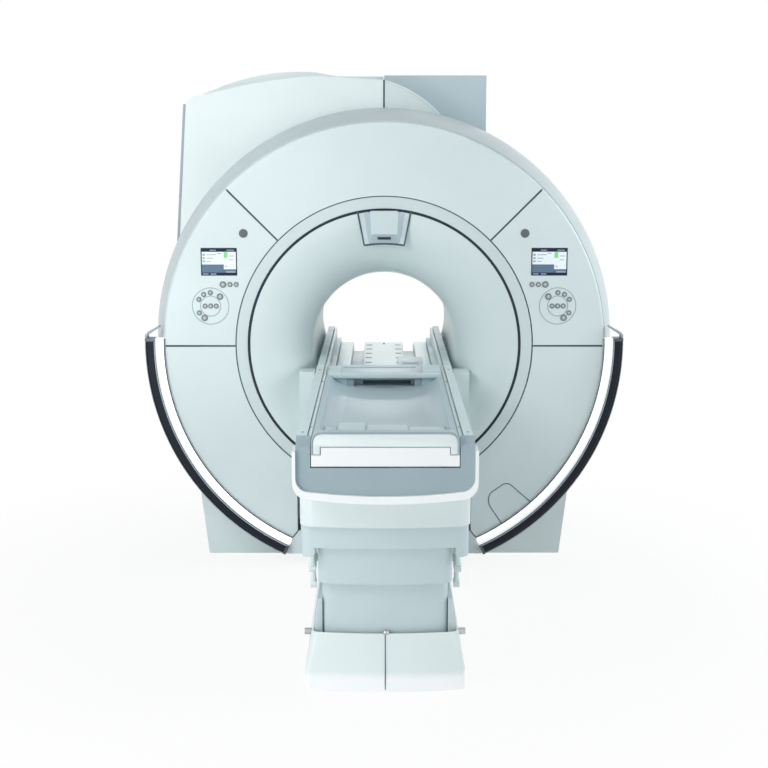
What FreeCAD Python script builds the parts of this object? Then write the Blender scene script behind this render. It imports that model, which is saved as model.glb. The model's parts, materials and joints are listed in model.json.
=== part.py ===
"""A 70 cm wide-bore magnetic resonance scanner with its docked patient table.

Millimetres. +Z is up and the front faces -Y, so the patient travels along +Y.
The origin is on the floor, straight below the middle of the magnet bore.
"""
import FreeCAD
import Part
import Sketcher

import math
import os

doc = FreeCAD.newDocument("Scanner")
nodes = []


# ---------------------------------------------------------------- driving sizes

DRIVING = {
    # magnet and bore
    "iso_height": 1070,
    "bore_radius": 350,
    "bore_length": 1040,
    "liner_wall": 12,
    "gradient_inner": 395,
    "gradient_length": 1240,
    "vessel_inner": 472,
    "vessel_outer": 960,
    "vessel_length": 1400,
    "vessel_wall": 12,
    "coil_inner": 540,
    "coil_depth": 90,
    "coil_width": 120,
    "coil_pitch": 215,
    "former_wall": 30,
    "former_length": 1240,
    "strut_radius": 14,
    "foot_reach": 330,
    "foot_spread": 500,
    "foot_plate": 20,
    "foot_width": 130,
    "foot_plate_reach": 180,
    "anchor_offset": 120,
    "anchor_radius": 11,
    "vent_radius": 102,
    "vent_wall": 8,
    "vent_side": 270,
    "vent_back": 200,
    "vent_rise": 123,
    # front face
    "face_lift": 20,
    "face_front": 800,
    "face_hole": 713,
    "face_return": 24,
    "edge_radius": 10,
    "bezel_inner": 650,
    "seam": 4,
    "seam_angle": 45,
    "panel_wall": 5,
    "cover_wall": 6,
    "seat_gap": 0.5,
    "flange": 15,
    "flange_reach": 117,
    "notch_half": 425,
    "notch_bottom": 174,
    "notch_foot_half": 462,
    "notch_foot": 123,
    "hatch_foot_side": 581,
    "hatch_foot_height": 202,
    "hatch_low_side": 515,
    "hatch_low_height": 299,
    "hatch_high_side": 520,
    "hatch_high_height": 361,
    "hatch_rise_side": 579,
    "hatch_rise_height": 408,
    "hatch_fall_side": 618,
    "hatch_fall_height": 406,
    "hatch_end_side": 721,
    "hatch_end_height": 313,
    "hatch_left_bend": 46,
    "hatch_top_bend": 30,
    "hatch_groove": 1,
    # shoulder, side and top covers
    "cover_clearance": 147,
    "shoulder_round": 72,
    "shoulder_widest": 490,
    "shoulder_back": 420,
    "floor_gap": 25,
    "enclosure_back": 800,
    "side_tuck": 87,
    "side_waist_height": 310,
    "waist_tuck": 120,
    "floor_tuck": 155,
    "side_top": 1450,
    "block_front": 620,
    "block_inner_half": 520,
    "corner_lap": 8,
    "crown_depth": 127,
    "corner_tuck": 68,
    "corner_rise": 28,
    "bend_tuck": 160,
    "bend_rise": 66,
    "top_peak_half": 340,
    "peak_rise": 154,
    "middle_rise": 135,
    "top_step": 100,
    "top_step_rise": 33,
    "rear_step_half": 240,
    "rear_bend": 1100,
    "top_bend": 3000,
    "top_corner_bend": 120,
    "crest_side": 281,
    "crest_drop": 34,
    "crest_depth": 48,
    "crest_back": 210,
    "tower_side": 520,
    "tower_rise": 168,
    "rear_hole": 640,
    # light band and bumper rail
    "band_start": 88,
    "band_span": 66.7,
    "band_width": 40,
    "rail_width": 45,
    "rail_depth": 60,
    "rail_lead": 32,
    "band_lead": 12,
    # control panels
    "display_inset": 272,
    "display_rise": 403,
    "display_width": 171,
    "display_tall": 131,
    "display_depth": 22,
    "display_frame": 8,
    "display_recess": 1.5,
    "dial_inset": 228,
    "dial_rise": 192,
    "dial_radius": 86,
    "dial_hub": 47,
    "dial_groove": 3,
    "dial_groove_depth": 1,
    "dial_ring": 64,
    "key_small": 12,
    "key_large": 15.5,
    "key_pitch": 26.5,
    "key_row_rise": 295,
    "key_row_inset": 17,
    "key_row_step": 33,
    "key_row_last_step": 30,
    "key_gap": 0.5,
    "key_stand": 2.5,
    "key_lip": 1,
    "key_lip_depth": 2,
    # alignment light pod
    "pod_top_half": 127,
    "pod_bottom_half": 94,
    "pod_rise": 500,
    "pod_bow": 564,
    "pod_slip": 0.9,
    "pod_body_top_half": 60,
    "pod_body_half": 50,
    "pod_body_bottom": 62,
    "pod_body_top": 163,
    "pod_body_stand": 12,
    "pod_slot_half": 32,
    "pod_slot_rise": 27,
    "pod_slot_height": 15,
    # dock housing and bore bridge
    "dock_half": 409,
    "dock_drop": 105,
    "dock_depth": 100,
    "dock_lead": 12,
    "dock_channel_half": 335,
    "skirt_front": 795,
    "skirt_depth": 15.5,
    "skirt_bottom": 52,
    "skirt_foot_half": 484,
    "skirt_top_half": 447,
    "skirt_top": 134,
    "deck_drop": 170,
    "deck_wall": 28,
    "deck_half": 285,
    "deck_panel_half": 110,
    "deck_strip_inner": 170,
    "deck_channel": 12,
    "deck_notch_start": 335,
    "guide_inner": 245,
    "guide_drop": 132,
    "rail_outer": 318,
    "rail_inner": 284,
    "rail_drop": 65,
    "rail_foot_drop": 138,
    # table
    "table_front": 2440,
    "table_back": 835,
    "frame_front": 2386,
    "frame_drop": 210,
    "apron_front": 2372,
    "apron_back": 1150,
    "apron_half": 317,
    "apron_drop": 417,
    "apron_corner": 60,
    "trim_half": 334,
    "trim_side": 12,
    "trim_top_drop": 108,
    "trim_corner": 60,
    "trim_drop": 304,
    "trim_rise": 17,
    "trim_band": 28,
    "trim_front": 2455,
    "end_top_drop": 95,
    "end_mouth_half": 269,
    "end_mouth_drop": 173,
    # cradle
    "cradle_half": 266,
    "cradle_drop": 75,
    "slide_gap": 0.3,
    "dish_half": 243,
    "dish_edge_drop": 82,
    "dish_depth": 53,
    "dish_knee": 165,
    "dish_bend": 1500,
    "cradle_wall": 12,
    "cap_drop": 41,
    "cap_seam_drop": 96,
    "cap_leg_inner": 233,
    "cap_leg_drop": 124,
    "cap_corner": 38,
    "cap_wall": 40,
    "cap_slip": 2,
    "sill_drop": 167,
    "ledge_depth": 95,
    "ledge_drop": 92,
    "head_depth": 220,
    "head_drop": 70,
    "head_recess_half": 172,
    "head_recess_depth": 60,
    "head_recess_top_drop": 92,
    "head_recess_height": 38,
    # column covers and lift
    "upper_half": 311,
    "upper_front": 2352,
    "upper_bottom": 567,
    "upper_top": 755,
    "upper_back": 1170,
    "post_bottom": 530,
    "post_inner": 265,
    "middle_half": 253,
    "middle_front": 2326,
    "middle_bottom": 420,
    "middle_top": 658,
    "middle_back": 1210,
    "lower_half": 238,
    "lower_front": 2290,
    "lower_top": 556,
    "lower_back": 1230,
    "stage_corner": 40,
    "stage_wall": 5,
    "stage_lip": 6,
    "front_bow": 20,
    "column_centre": 1850,
    "column_half": 90,
    "column_long": 120,
    "column_wall": 8,
    "column_corner": 16,
    "column_slip": 0.4,
    "column_top": 550,
    "ram_bottom": 345,
    # table base
    "base_front": 2280,
    "base_back": 1190,
    "base_thick": 40,
    "tongue_half": 90,
    "tongue_bottom": 8,
    "latch_depth": 40,
    "latch_top": 130,
    "fairing_front": 2150,
    "fairing_wall_half": 255,
    "fairing_foot": 170,
    "fairing_foot_half": 278,
    "fairing_bend_half": 269,
    "fairing_top_half": 254,
    "fairing_top": 335,
    "foot_front": 2336,
    "foot_back": 1130,
    "foot_half": 303,
    "foot_lip": 78,
    "foot_lip_swell": 1,
    "foot_lip_tuck": 2,
    "foot_top": 222,
    "foot_top_half": 276,
    "foot_top_front": 2312,
    "foot_corner": 24,
    "foot_wall": 5,
    "foot_seam": 2,
    # pedal
    "pedal_height": 112,
    "pedal_pivot": 1420,
    "pedal_front": 2070,
    "pedal_rise": 29,
    "pedal_travel": 46,
    "pedal_axle": 10,
    "pedal_slip": 0.05,
    "pedal_arm_inner": 262,
    "pedal_arm_outer": 276,
    "pedal_arm_half": 11,
    "pedal_arm_bend": 12,
    "pedal_bar_end": 318,
    "pedal_bar_radius": 13,
}

# sizes that follow from the driving ones
DERIVED = {
    "face_height": "iso_height + face_lift",
    "shoulder_radius": "vessel_outer + face_lift + cover_clearance",
    "face_radius": "shoulder_radius - shoulder_round",
    "back_flange": "shoulder_radius - flange_reach",
    "side_half": "shoulder_radius - side_tuck",
    "side_waist_half": "side_half - waist_tuck",
    "side_floor_half": "side_half - floor_tuck",
    "crown_level": "face_height + shoulder_radius",
    "top_inner": "shoulder_radius - crown_depth",
    "top_corner_half": "side_half - corner_tuck",
    "top_corner": "crown_level + corner_rise",
    "top_shoulder_half": "side_half - bend_tuck",
    "top_shoulder": "crown_level + bend_rise",
    "top_peak": "crown_level + peak_rise",
    "top_middle": "crown_level + middle_rise",
    "crest_foot": "crown_level - crest_drop",
    "tower_top": "crown_level + tower_rise",
    "vent_top": "crown_level + vent_rise",
    "display_side": "face_radius - display_inset",
    "display_height": "face_height + display_rise",
    "dial_side": "face_radius - dial_inset",
    "dial_height": "face_height + dial_rise",
    "key_row_height": "face_height + key_row_rise",
    "key_row_first": "display_side - key_row_inset",
    "key_row_second": "key_row_first - key_row_step",
    "key_row_third": "key_row_second - key_row_last_step",
    "dock_top": "iso_height - dock_drop",
    "deck_height": "iso_height - deck_drop",
    "guide_top": "iso_height - guide_drop",
    "rail_top": "iso_height - rail_drop",
    "rail_foot": "iso_height - rail_foot_drop",
    "frame_bottom": "iso_height - frame_drop",
    "apron_bottom": "iso_height - apron_drop",
    "trim_top": "iso_height - trim_top_drop",
    "trim_bottom": "iso_height - trim_drop",
    "end_top": "iso_height - end_top_drop",
    "end_mouth_bottom": "iso_height - end_mouth_drop",
    "cradle_top": "iso_height - cradle_drop",
    "cradle_low": "guide_top + slide_gap",
    "dish_edge": "iso_height - dish_edge_drop",
    "dish_bottom": "dish_edge - dish_depth",
    "cap_top": "iso_height - cap_drop",
    "cap_seam": "iso_height - cap_seam_drop",
    "cap_leg_bottom": "iso_height - cap_leg_drop",
    "sill_bottom": "iso_height - sill_drop",
    "ledge_top": "iso_height - ledge_drop",
    "head_top": "iso_height - head_drop",
    "head_recess_top": "iso_height - head_recess_top_drop",
    "head_recess_floor": "head_recess_top - head_recess_height",
}

sheet = doc.addObject("Spreadsheet::Sheet", "Sizes")
cells = [(alias, str(number)) for alias, number in DRIVING.items()]
cells += [(alias, f"={formula}") for alias, formula in DERIVED.items()]
for row, (alias, content) in enumerate(cells, start=1):
    sheet.set(f"A{row}", alias.replace("_", " "))
    sheet.set(f"B{row}", content)
    sheet.setAlias(f"B{row}", alias)
doc.recompute()


class Size:
    """A length that knows its number and the sheet expression that gives it."""

    def __init__(self, value, text=None):
        self.value = float(value)
        self.text = repr(value) if text is None else text

    def with_other(self, other, sign, result):
        return Size(result, f"({self.text} {sign} {as_size(other).text})")

    def __add__(self, other):
        return self.with_other(other, "+", self.value + as_size(other).value)

    def __sub__(self, other):
        return self.with_other(other, "-", self.value - as_size(other).value)

    def __mul__(self, other):
        return self.with_other(other, "*", self.value * as_size(other).value)

    def __truediv__(self, other):
        return self.with_other(other, "/", self.value / as_size(other).value)

    def __neg__(self):
        return Size(-self.value, f"(-{self.text})")

    def __radd__(self, other):
        return as_size(other) + self

    def __rsub__(self, other):
        return as_size(other) - self


def as_size(length):
    return length if isinstance(length, Size) else Size(length)


def root(length):
    return Size(math.sqrt(length.value), f"sqrt({length.text})")


class Table:
    """Every size of the sheet, read by its name."""

    def __getattr__(self, alias):
        return Size(sheet.get(alias), f"Sizes.{alias}")


size = Table()


# ---------------------------------------------------------------- sketch and feature helpers

class Bend:
    """An arc to the next point, bulging to the left (1) or the right (-1) of the way there."""

    def __init__(self, radius, side):
        self.radius = as_size(radius)
        self.side = side


class Ring:
    """A full circle."""

    def __init__(self, across, up, radius):
        self.across = as_size(across)
        self.up = as_size(up)
        self.radius = as_size(radius)


def new_body(name, height=None, back=None, side=None):
    """A body whose own origin stands at the given height, depth and side."""
    body = doc.addObject("PartDesign::Body", name)
    body.Label = name
    for axis, length in (("x", side), ("y", back), ("z", height)):
        if length is not None:
            body.setExpression(f"Placement.Base.{axis}", as_size(length).text)
    nodes.append(body)
    return body


def origin_plane(body, role):
    return next(part for part in body.Origin.OriginFeatures if part.Role == role)


def pin_point(sketch, geometry, end, across, up):
    """Hold a point of the sketch at its place by the sizes that give it."""
    for kind, axis, length in (("DistanceX", -2, across), ("DistanceY", -1, up)):
        if length.value == 0:
            sketch.addConstraint(Sketcher.Constraint("PointOnObject", geometry, end, axis))
            continue
        index = sketch.addConstraint(
            Sketcher.Constraint(kind, -1, 1, geometry, end, length.value))
        sketch.setExpression(f"Constraints[{index}]", length.text)


def draw_ring(sketch, ring):
    centre = FreeCAD.Vector(ring.across.value, ring.up.value, 0)
    circle = Part.Circle(centre, FreeCAD.Vector(0, 0, 1), ring.radius.value)
    geometry = sketch.addGeometry(circle, False)
    pin_point(sketch, geometry, 3, ring.across, ring.up)
    index = sketch.addConstraint(Sketcher.Constraint("Radius", geometry, ring.radius.value))
    sketch.setExpression(f"Constraints[{index}]", ring.radius.text)


def arc_through(start, end, bend):
    """The arc from start to end with the bend's radius, under half a circle, anticlockwise."""
    chord = end - start
    left = FreeCAD.Vector(-chord.y, chord.x, 0).normalize()
    radius = bend.radius.value
    sagitta = radius - math.sqrt(max(0.0, radius ** 2 - (chord.Length / 2) ** 2))
    middle = (start + end) / 2 + left * (sagitta * bend.side)
    if bend.side > 0:
        return Part.Arc(end, middle, start)
    return Part.Arc(start, middle, end)


def draw_loop(sketch, path):
    """A closed outline of corner points, with a Bend before each point that an arc leads to."""
    corners = [step for step in path if not isinstance(step, Bend)]
    bends = []
    for place, step in enumerate(path):
        if not isinstance(step, Bend):
            after = path[(place + 1) % len(path)]
            bends.append(after if isinstance(after, Bend) else None)
    points = [(as_size(across), as_size(up)) for across, up in corners]
    spots = [FreeCAD.Vector(across.value, up.value, 0) for across, up in points]
    ends = []
    for place, bend in enumerate(bends):
        start = spots[place]
        end = spots[(place + 1) % len(spots)]
        edge = arc_through(start, end, bend) if bend else Part.LineSegment(start, end)
        geometry = sketch.addGeometry(edge, False)
        turned_round = bend and sketch.Geometry[geometry].StartPoint.distanceToPoint(start) > 1e-4
        ends.append((geometry, 2, 1) if turned_round else (geometry, 1, 2))
    for place, (geometry, first, last) in enumerate(ends):
        following, its_first, unused = ends[(place + 1) % len(ends)]
        sketch.addConstraint(
            Sketcher.Constraint("Coincident", geometry, last, following, its_first))
        pin_point(sketch, geometry, first, *points[place])
        if bends[place]:
            radius = bends[place].radius
            index = sketch.addConstraint(Sketcher.Constraint("Radius", geometry, radius.value))
            sketch.setExpression(f"Constraints[{index}]", radius.text)


def new_sketch(body, name, role, loops, offset=None, turn=None):
    """A sketch on one of the body's own planes, moved off it or turned about its own X."""
    sketch = body.newObject("Sketcher::SketchObject", f"{body.Name}_{name}")
    sketch.AttachmentSupport = (origin_plane(body, role), [""])
    sketch.MapMode = "FlatFace"
    if offset is not None:
        sketch.setExpression("AttachmentOffset.Base.z", as_size(offset).text)
    if turn is not None:
        sketch.AttachmentOffset = FreeCAD.Placement(
            FreeCAD.Vector(0, 0, 0), FreeCAD.Rotation(FreeCAD.Vector(1, 0, 0), turn.value))
        sketch.setExpression("AttachmentOffset.Rotation.Angle", turn.text)
    for loop in loops:
        if isinstance(loop, Ring):
            draw_ring(sketch, loop)
        else:
            draw_loop(sketch, loop)
    return sketch


def pad(body, name, role, loops, length, offset=None, forward=True):
    """A pad of the outline. From the XZ plane, forward means towards +Y, the rear."""
    feature = body.newObject("PartDesign::Pad", f"{body.Name}_{name}")
    feature.Profile = new_sketch(body, f"{name}_outline", role, loops, offset)
    feature.setExpression("Length", as_size(length).text)
    feature.Reversed = forward == (role == "XZ_Plane")
    return feature


def pocket(body, name, role, loops, length=None, offset=None, forward=True):
    """A pocket of the outline, through all both ways where no length is given."""
    feature = body.newObject("PartDesign::Pocket", f"{body.Name}_{name}")
    feature.Profile = new_sketch(body, f"{name}_outline", role, loops, offset)
    if length is None:
        feature.Type = "ThroughAll"
        feature.SideType = "Symmetric"
    else:
        feature.setExpression("Length", as_size(length).text)
        feature.Reversed = forward != (role == "XZ_Plane")
    return feature


def turned(body, name, loops, start=None, span=None):
    """The outline, drawn as depth and radius, turned about the body's own Y axis."""
    feature = body.newObject("PartDesign::Revolution", f"{body.Name}_{name}")
    sketch = new_sketch(body, f"{name}_outline", "YZ_Plane", loops, turn=start)
    feature.Profile = sketch
    feature.ReferenceAxis = (sketch, ["H_Axis"])
    if span is None:
        feature.Angle = 360
    else:
        feature.Angle = span.value
        feature.setExpression("Angle", span.text)
    return feature


def box_outline(left, right, bottom, top):
    return [(left, bottom), (right, bottom), (right, top), (left, top)]


def rounded_outline(left, right, bottom, top, corner):
    """A rectangle with quarter-circle corners, from the lower left, anticlockwise."""
    left, right, bottom, top = map(as_size, (left, right, bottom, top))
    turn = Bend(corner, -1)
    return [
        (left + corner, bottom), (right - corner, bottom), turn,
        (right, bottom + corner), (right, top - corner), turn,
        (right - corner, top), (left + corner, top), turn,
        (left, top - corner), (left, bottom + corner), turn,
    ]


def sign_of(side):
    return -1 if side == "left" else 1


def mirrored(path):
    """The same outline on the other side of the middle plane."""
    flipped = []
    for step in path:
        if isinstance(step, Bend):
            flipped.append(Bend(step.radius, -step.side))
        else:
            flipped.append((-as_size(step[0]), step[1]))
    return flipped


def reverse_path(path):
    """The same outline walked the other way round."""
    back = []
    for step in reversed(path):
        back.append(Bend(step.radius, -step.side) if isinstance(step, Bend) else step)
    return back


# ---------------------------------------------------------------- magnet, coils and bore

def tube_outline(length, inner, outer):
    half = length / 2
    return box_outline(-half, half, inner, outer)


def make_cryostat_vessel():
    """Vacuum vessel, closed at both ends, with the vent turret welded on its top."""
    body = new_body("cryostat_vessel", height=size.iso_height)
    wall = size.vessel_wall
    vacuum = tube_outline(size.vessel_length - wall * 2, size.vessel_inner + wall,
                          size.vessel_outer - wall)
    turned(body, "shell", [tube_outline(size.vessel_length, size.vessel_inner,
                                        size.vessel_outer), vacuum])
    turret_outer = size.vent_radius + size.vent_wall
    foot = size.vessel_outer - wall * 4
    top = size.vent_top - size.iso_height
    centre = (size.vent_side, size.vent_back)
    pad(body, "turret", "XY_Plane", [Ring(*centre, turret_outer)], top - foot, offset=foot)
    pocket(body, "vent", "XY_Plane", [Ring(*centre, size.vent_radius)],
           size.vent_top - size.iso_height - foot, offset=top, forward=False)


def make_magnet_winding():
    """Superconducting coils: six rings on one former, hung in the vessel by four struts."""
    body = new_body("magnet_winding", height=size.iso_height)
    inner = size.coil_inner
    turned(body, "former", [tube_outline(size.former_length, inner - size.former_wall, inner)])
    for number in range(6):
        middle = size.coil_pitch * (number - 2.5)
        front = middle - size.coil_width / 2
        turned(body, f"coil{number}",
               [box_outline(front, front + size.coil_width, inner, inner + size.coil_depth)])
    start = inner - size.former_wall / 2
    reach = size.vessel_outer - size.vessel_wall - size.seat_gap
    for role in ("XY_Plane", "YZ_Plane"):
        for forward in (True, False):
            name = f"strut_{role[:2]}_{'far' if forward else 'near'}"
            pad(body, name, role, [Ring(0, 0, size.strut_radius)], reach - start,
                offset=start if forward else -start, forward=forward)


def make_gradient_coil():
    body = new_body("gradient_coil", height=size.iso_height)
    turned(body, "tube", [tube_outline(size.gradient_length, size.gradient_inner,
                                       size.vessel_inner - size.seat_gap)])


def make_bore_liner():
    """The bore tube that the patient sees, with the body coil wound on its back."""
    body = new_body("bore_liner", height=size.iso_height)
    outer = size.bore_radius + size.liner_wall
    turned(body, "tube", [tube_outline(size.bore_length, size.bore_radius, outer)])


def make_magnet_feet():
    """Four feet under the vessel, each with an anchor hole in its plate."""
    body = new_body("magnet_feet")
    body.AllowCompound = True
    vessel = size.vessel_outer + size.seat_gap
    inner = size.foot_spread - size.foot_width / 2
    outer = size.foot_spread + size.foot_width / 2
    inner_top = size.iso_height - root(vessel * vessel - inner * inner)
    outer_top = size.iso_height - root(vessel * vessel - outer * outer)
    for side in ("left", "right"):
        for end in (-1, 1):
            label = f"{side}{'back' if end > 0 else 'front'}"
            middle = size.foot_reach * end
            front = middle - size.foot_width / 2
            saddle = [(inner, 0), (outer, 0), (outer, outer_top), Bend(vessel, 1),
                      (inner, inner_top)]
            plate = box_outline(outer - size.panel_wall,
                                size.foot_spread + size.foot_plate_reach, 0, size.foot_plate)
            for name, path in (("saddle", saddle), ("plate", plate)):
                path = mirrored(path) if side == "left" else path
                pad(body, f"{name}{label}", "XZ_Plane", [path], size.foot_width,
                    offset=-front)
    holes = []
    for side in (-1, 1):
        for end in (-1, 1):
            holes.append(Ring((size.foot_spread + size.anchor_offset) * side,
                              size.foot_reach * end, size.anchor_radius))
    pocket(body, "anchors", "XY_Plane", holes, size.foot_plate * 2,
           offset=size.foot_plate * 2, forward=False)


# ---------------------------------------------------------------- funnel, bezel and face panels

FUNNEL_STEPS = 6


def funnel_sections(inset, mouth_depth, mouth_radius, lift, axis_height=0):
    """Depth, height and radius of each ring of a trumpet that flares from the bore."""
    start = size.bore_length / 2
    sections = []
    for step in range(FUNNEL_STEPS):
        turn = math.pi / 2 * step / (FUNNEL_STEPS - 1)
        depth = start + (mouth_depth - start) * round(math.sin(turn), 6)
        share = round(1 - math.cos(turn), 6)
        radius = size.bore_radius + (mouth_radius - size.bore_radius) * share + inset
        sections.append((depth, axis_height + lift * share, radius))
    return sections


def funnel_loft(body, name, kind, sections, direction):
    """A loft through the rings; direction is -1 at the front of the magnet, 1 at the rear."""
    feature = body.newObject(f"PartDesign::{kind}Loft", f"{body.Name}_{name}")
    rings = []
    for number, (depth, height, radius) in enumerate(sections):
        rings.append(new_sketch(body, f"{name}_ring{number}", "XZ_Plane",
                                [Ring(0, height, radius)], offset=-(depth * direction)))
    feature.Profile = rings[0]
    feature.Sections = rings[1:]
    feature.Ruled = False
    return feature


def make_front_funnel():
    """The flared mouth, cut away at the bottom where the dock housing stands."""
    body = new_body("front_funnel", height=size.iso_height)
    mouth = size.bezel_inner - size.seat_gap - size.cover_wall
    outer = funnel_sections(size.cover_wall, size.face_front, mouth, size.face_lift)
    inner = funnel_sections(0, size.face_front, mouth, size.face_lift)
    funnel_loft(body, "outside", "Additive", outer, -1)
    funnel_loft(body, "hollow", "Subtractive", inner, -1)
    half = size.dock_half + size.seat_gap
    top = size.dock_top + size.seat_gap - size.iso_height
    deep = size.dock_depth + size.seat_gap * 2
    pocket(body, "dock_gap", "XZ_Plane", [box_outline(-half, half, -size.face_hole, top)],
           deep, offset=size.face_front + size.dock_lead)


def make_bezel_ring():
    """Hollow ring between the funnel mouth and the face panels, which rest on its flange."""
    body = new_body("bezel_ring", height=size.face_height, back=-size.face_front)
    inner = size.bezel_inner
    outer = size.face_hole - size.seam
    edge = size.edge_radius / 2
    wall = size.cover_wall
    flange_front = size.face_return + size.seat_gap
    flange_back = flange_front + wall
    reach = size.face_hole + size.panel_wall
    profile = [
        (edge, inner), (flange_back, inner), (flange_back, inner + wall),
        (wall, inner + wall), (wall, outer - wall), (flange_back, outer - wall),
        (flange_back, reach), (flange_front, reach), (flange_front, outer),
        (edge, outer), Bend(edge, -1), (0, outer - edge), (0, inner + edge), Bend(edge, -1),
    ]
    turned(body, "ring", [profile])
    half = size.dock_half + size.seat_gap
    pocket(body, "dock_gap", "XZ_Plane", [box_outline(-half, half, -size.face_radius, 0)],
           flange_back * 2, offset=flange_back / 2)


def panel_profile(inner, outer):
    """Radial section of a face panel: a flat skin with a rounded rim and two returns."""
    wall = size.panel_wall
    edge = size.edge_radius
    return [
        (size.face_return, inner), (size.face_return, inner + wall), (wall, inner + wall),
        (wall, outer - edge), Bend(edge - wall, 1), (edge, outer - wall),
        (size.face_return, outer - wall), (size.face_return, outer), (edge, outer),
        Bend(edge, -1), (0, outer - edge), (0, inner),
    ]


QUARTER_TURN = as_size(90)


def panel_sector(body, start, span):
    """The panel from one radial seam to the next, a seam's half width inside both."""
    half_seam = size.seam / size.face_radius * round(math.degrees(0.5), 4)
    turned(body, "skin", [panel_profile(size.face_hole, size.face_radius)],
           start=start + half_seam, span=span - half_seam * 2)


def key_places():
    """Side offset, height and radius of the keys on the right-hand control panel."""
    spots = [
        (size.key_row_first, size.key_row_height, size.key_large),
        (size.key_row_second, size.key_row_height, size.key_small),
        (size.key_row_third, size.key_row_height, size.key_small),
    ]
    ring = (("key_small", 90), ("key_small", 60), ("key_small", 30), ("key_small", -31),
            ("key_large", 135), ("key_large", -62))
    for kind, degrees in ring:
        across = round(math.cos(math.radians(degrees)), 6)
        up = round(math.sin(math.radians(degrees)), 6)
        spots.append((size.dial_side + size.dial_ring * across,
                      size.dial_height + size.dial_ring * up, getattr(size, kind)))
    for step in (-1, 0, 1):
        spots.append((size.dial_side + size.key_pitch * step, size.dial_height,
                      size.key_small))
    return spots


def make_control_panel(side):
    """Upper side panel with the display window, the dial's grooves and the key holes."""
    body = new_body(f"{side}_control_panel", height=size.face_height, back=-size.face_front)
    sign = sign_of(side)
    panel_sector(body, size.seam_angle if side == "right" else -QUARTER_TURN,
                 QUARTER_TURN - size.seam_angle)
    middle = size.display_side * sign
    height = size.display_height - size.face_height
    half_wide = size.display_width / 2 + size.seat_gap
    half_tall = size.display_tall / 2 + size.seat_gap
    window = box_outline(middle - half_wide, middle + half_wide,
                         height - half_tall, height + half_tall)
    holes = [Ring(across * sign, up - size.face_height, radius + size.key_gap)
             for across, up, radius in key_places()]
    pocket(body, "openings", "XZ_Plane", [window] + holes, size.panel_wall * 2)
    dial = (size.dial_side * sign, size.dial_height - size.face_height)
    groove = [Ring(*dial, size.dial_radius), Ring(*dial, size.dial_radius - size.dial_groove)]
    hub = [Ring(*dial, size.dial_hub), Ring(*dial, size.dial_hub - size.dial_groove)]
    pocket(body, "dial_rim", "XZ_Plane", groove, size.dial_groove_depth)
    pocket(body, "dial_hub", "XZ_Plane", hub, size.dial_groove_depth)


def make_top_face_panel():
    body = new_body("top_face_panel", height=size.face_height, back=-size.face_front)
    panel_sector(body, -size.seam_angle, size.seam_angle * 2)


HATCH_INSIDE = 0.975


def hatch_outline():
    """Groove round the service hatch, open where the hatch meets the light band."""
    kinds = ("foot", "low", "high", "rise", "fall", "end")
    bends = {"high": size.hatch_left_bend, "fall": size.hatch_top_bend}
    middle = (size.hatch_foot_side + size.hatch_end_side) / 2
    height = (size.hatch_foot_height + size.hatch_end_height) / 2
    outlines = []
    for share in (1, HATCH_INSIDE):
        path = []
        for kind in kinds:
            if kind in bends:
                path.append(Bend(bends[kind] * share, 1))
            side = getattr(size, f"hatch_{kind}_side")
            up = getattr(size, f"hatch_{kind}_height")
            path.append((middle + (side - middle) * share,
                         height + (up - height) * share - size.face_height))
        outlines.append(path)
    return outlines[0] + reverse_path(outlines[1])


def make_lower_panel(side):
    """Lower side panel, stopped beside the table by a straight edge and a chamfer."""
    body = new_body(f"lower_{side}_panel", height=size.face_height, back=-size.face_front)
    panel_sector(body, QUARTER_TURN if side == "right" else QUARTER_TURN * 2, QUARTER_TURN)
    floor = -size.face_radius - size.seam
    notch = [
        (0, floor), (size.notch_foot_half, floor),
        (size.notch_foot_half, size.notch_foot - size.face_height),
        (size.notch_half, size.notch_bottom - size.face_height), (size.notch_half, 0), (0, 0),
    ]
    pocket(body, "table_gap", "XZ_Plane", [mirrored(notch) if side == "left" else notch],
           size.face_return * 2, offset=size.seam)
    if side == "right":
        pocket(body, "hatch_groove", "XZ_Plane", [hatch_outline()], size.hatch_groove)


def make_keys():
    """Push keys of both control panels, each with a lip behind the panel's skin."""
    for side in ("left", "right"):
        sign = sign_of(side)
        for number, (across, up, radius) in enumerate(key_places(), start=1):
            body = new_body(f"{side}_key_{number:02d}", height=up, side=across * sign,
                            back=-size.face_front)
            back = size.panel_wall + size.seat_gap
            lip = radius + size.key_lip
            rim = size.key_stand / 2
            end = back + size.key_lip_depth
            turned(body, "cap", [[
                (-size.key_stand, 0), (end, 0), (end, lip),
                (back, lip), (back, radius), (-rim, radius), (-size.key_stand, radius - rim),
            ]])


def make_display_screens():
    """Two display units in the windows of the control panels."""
    body = new_body("display_screens", height=size.display_height, back=-size.face_front)
    body.AllowCompound = True
    frame = size.display_frame
    half_wide = size.display_width / 2
    half_tall = size.display_tall / 2
    for side in ("left", "right"):
        middle = size.display_side * sign_of(side)
        case = box_outline(middle - half_wide, middle + half_wide, -half_tall, half_tall)
        pad(body, f"{side}_case", "XZ_Plane", [case], size.display_depth)
        glass = box_outline(middle - half_wide + frame, middle + half_wide - frame,
                            -half_tall + frame, half_tall - frame)
        pocket(body, f"{side}_glass", "XZ_Plane", [glass], size.display_recess)


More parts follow.
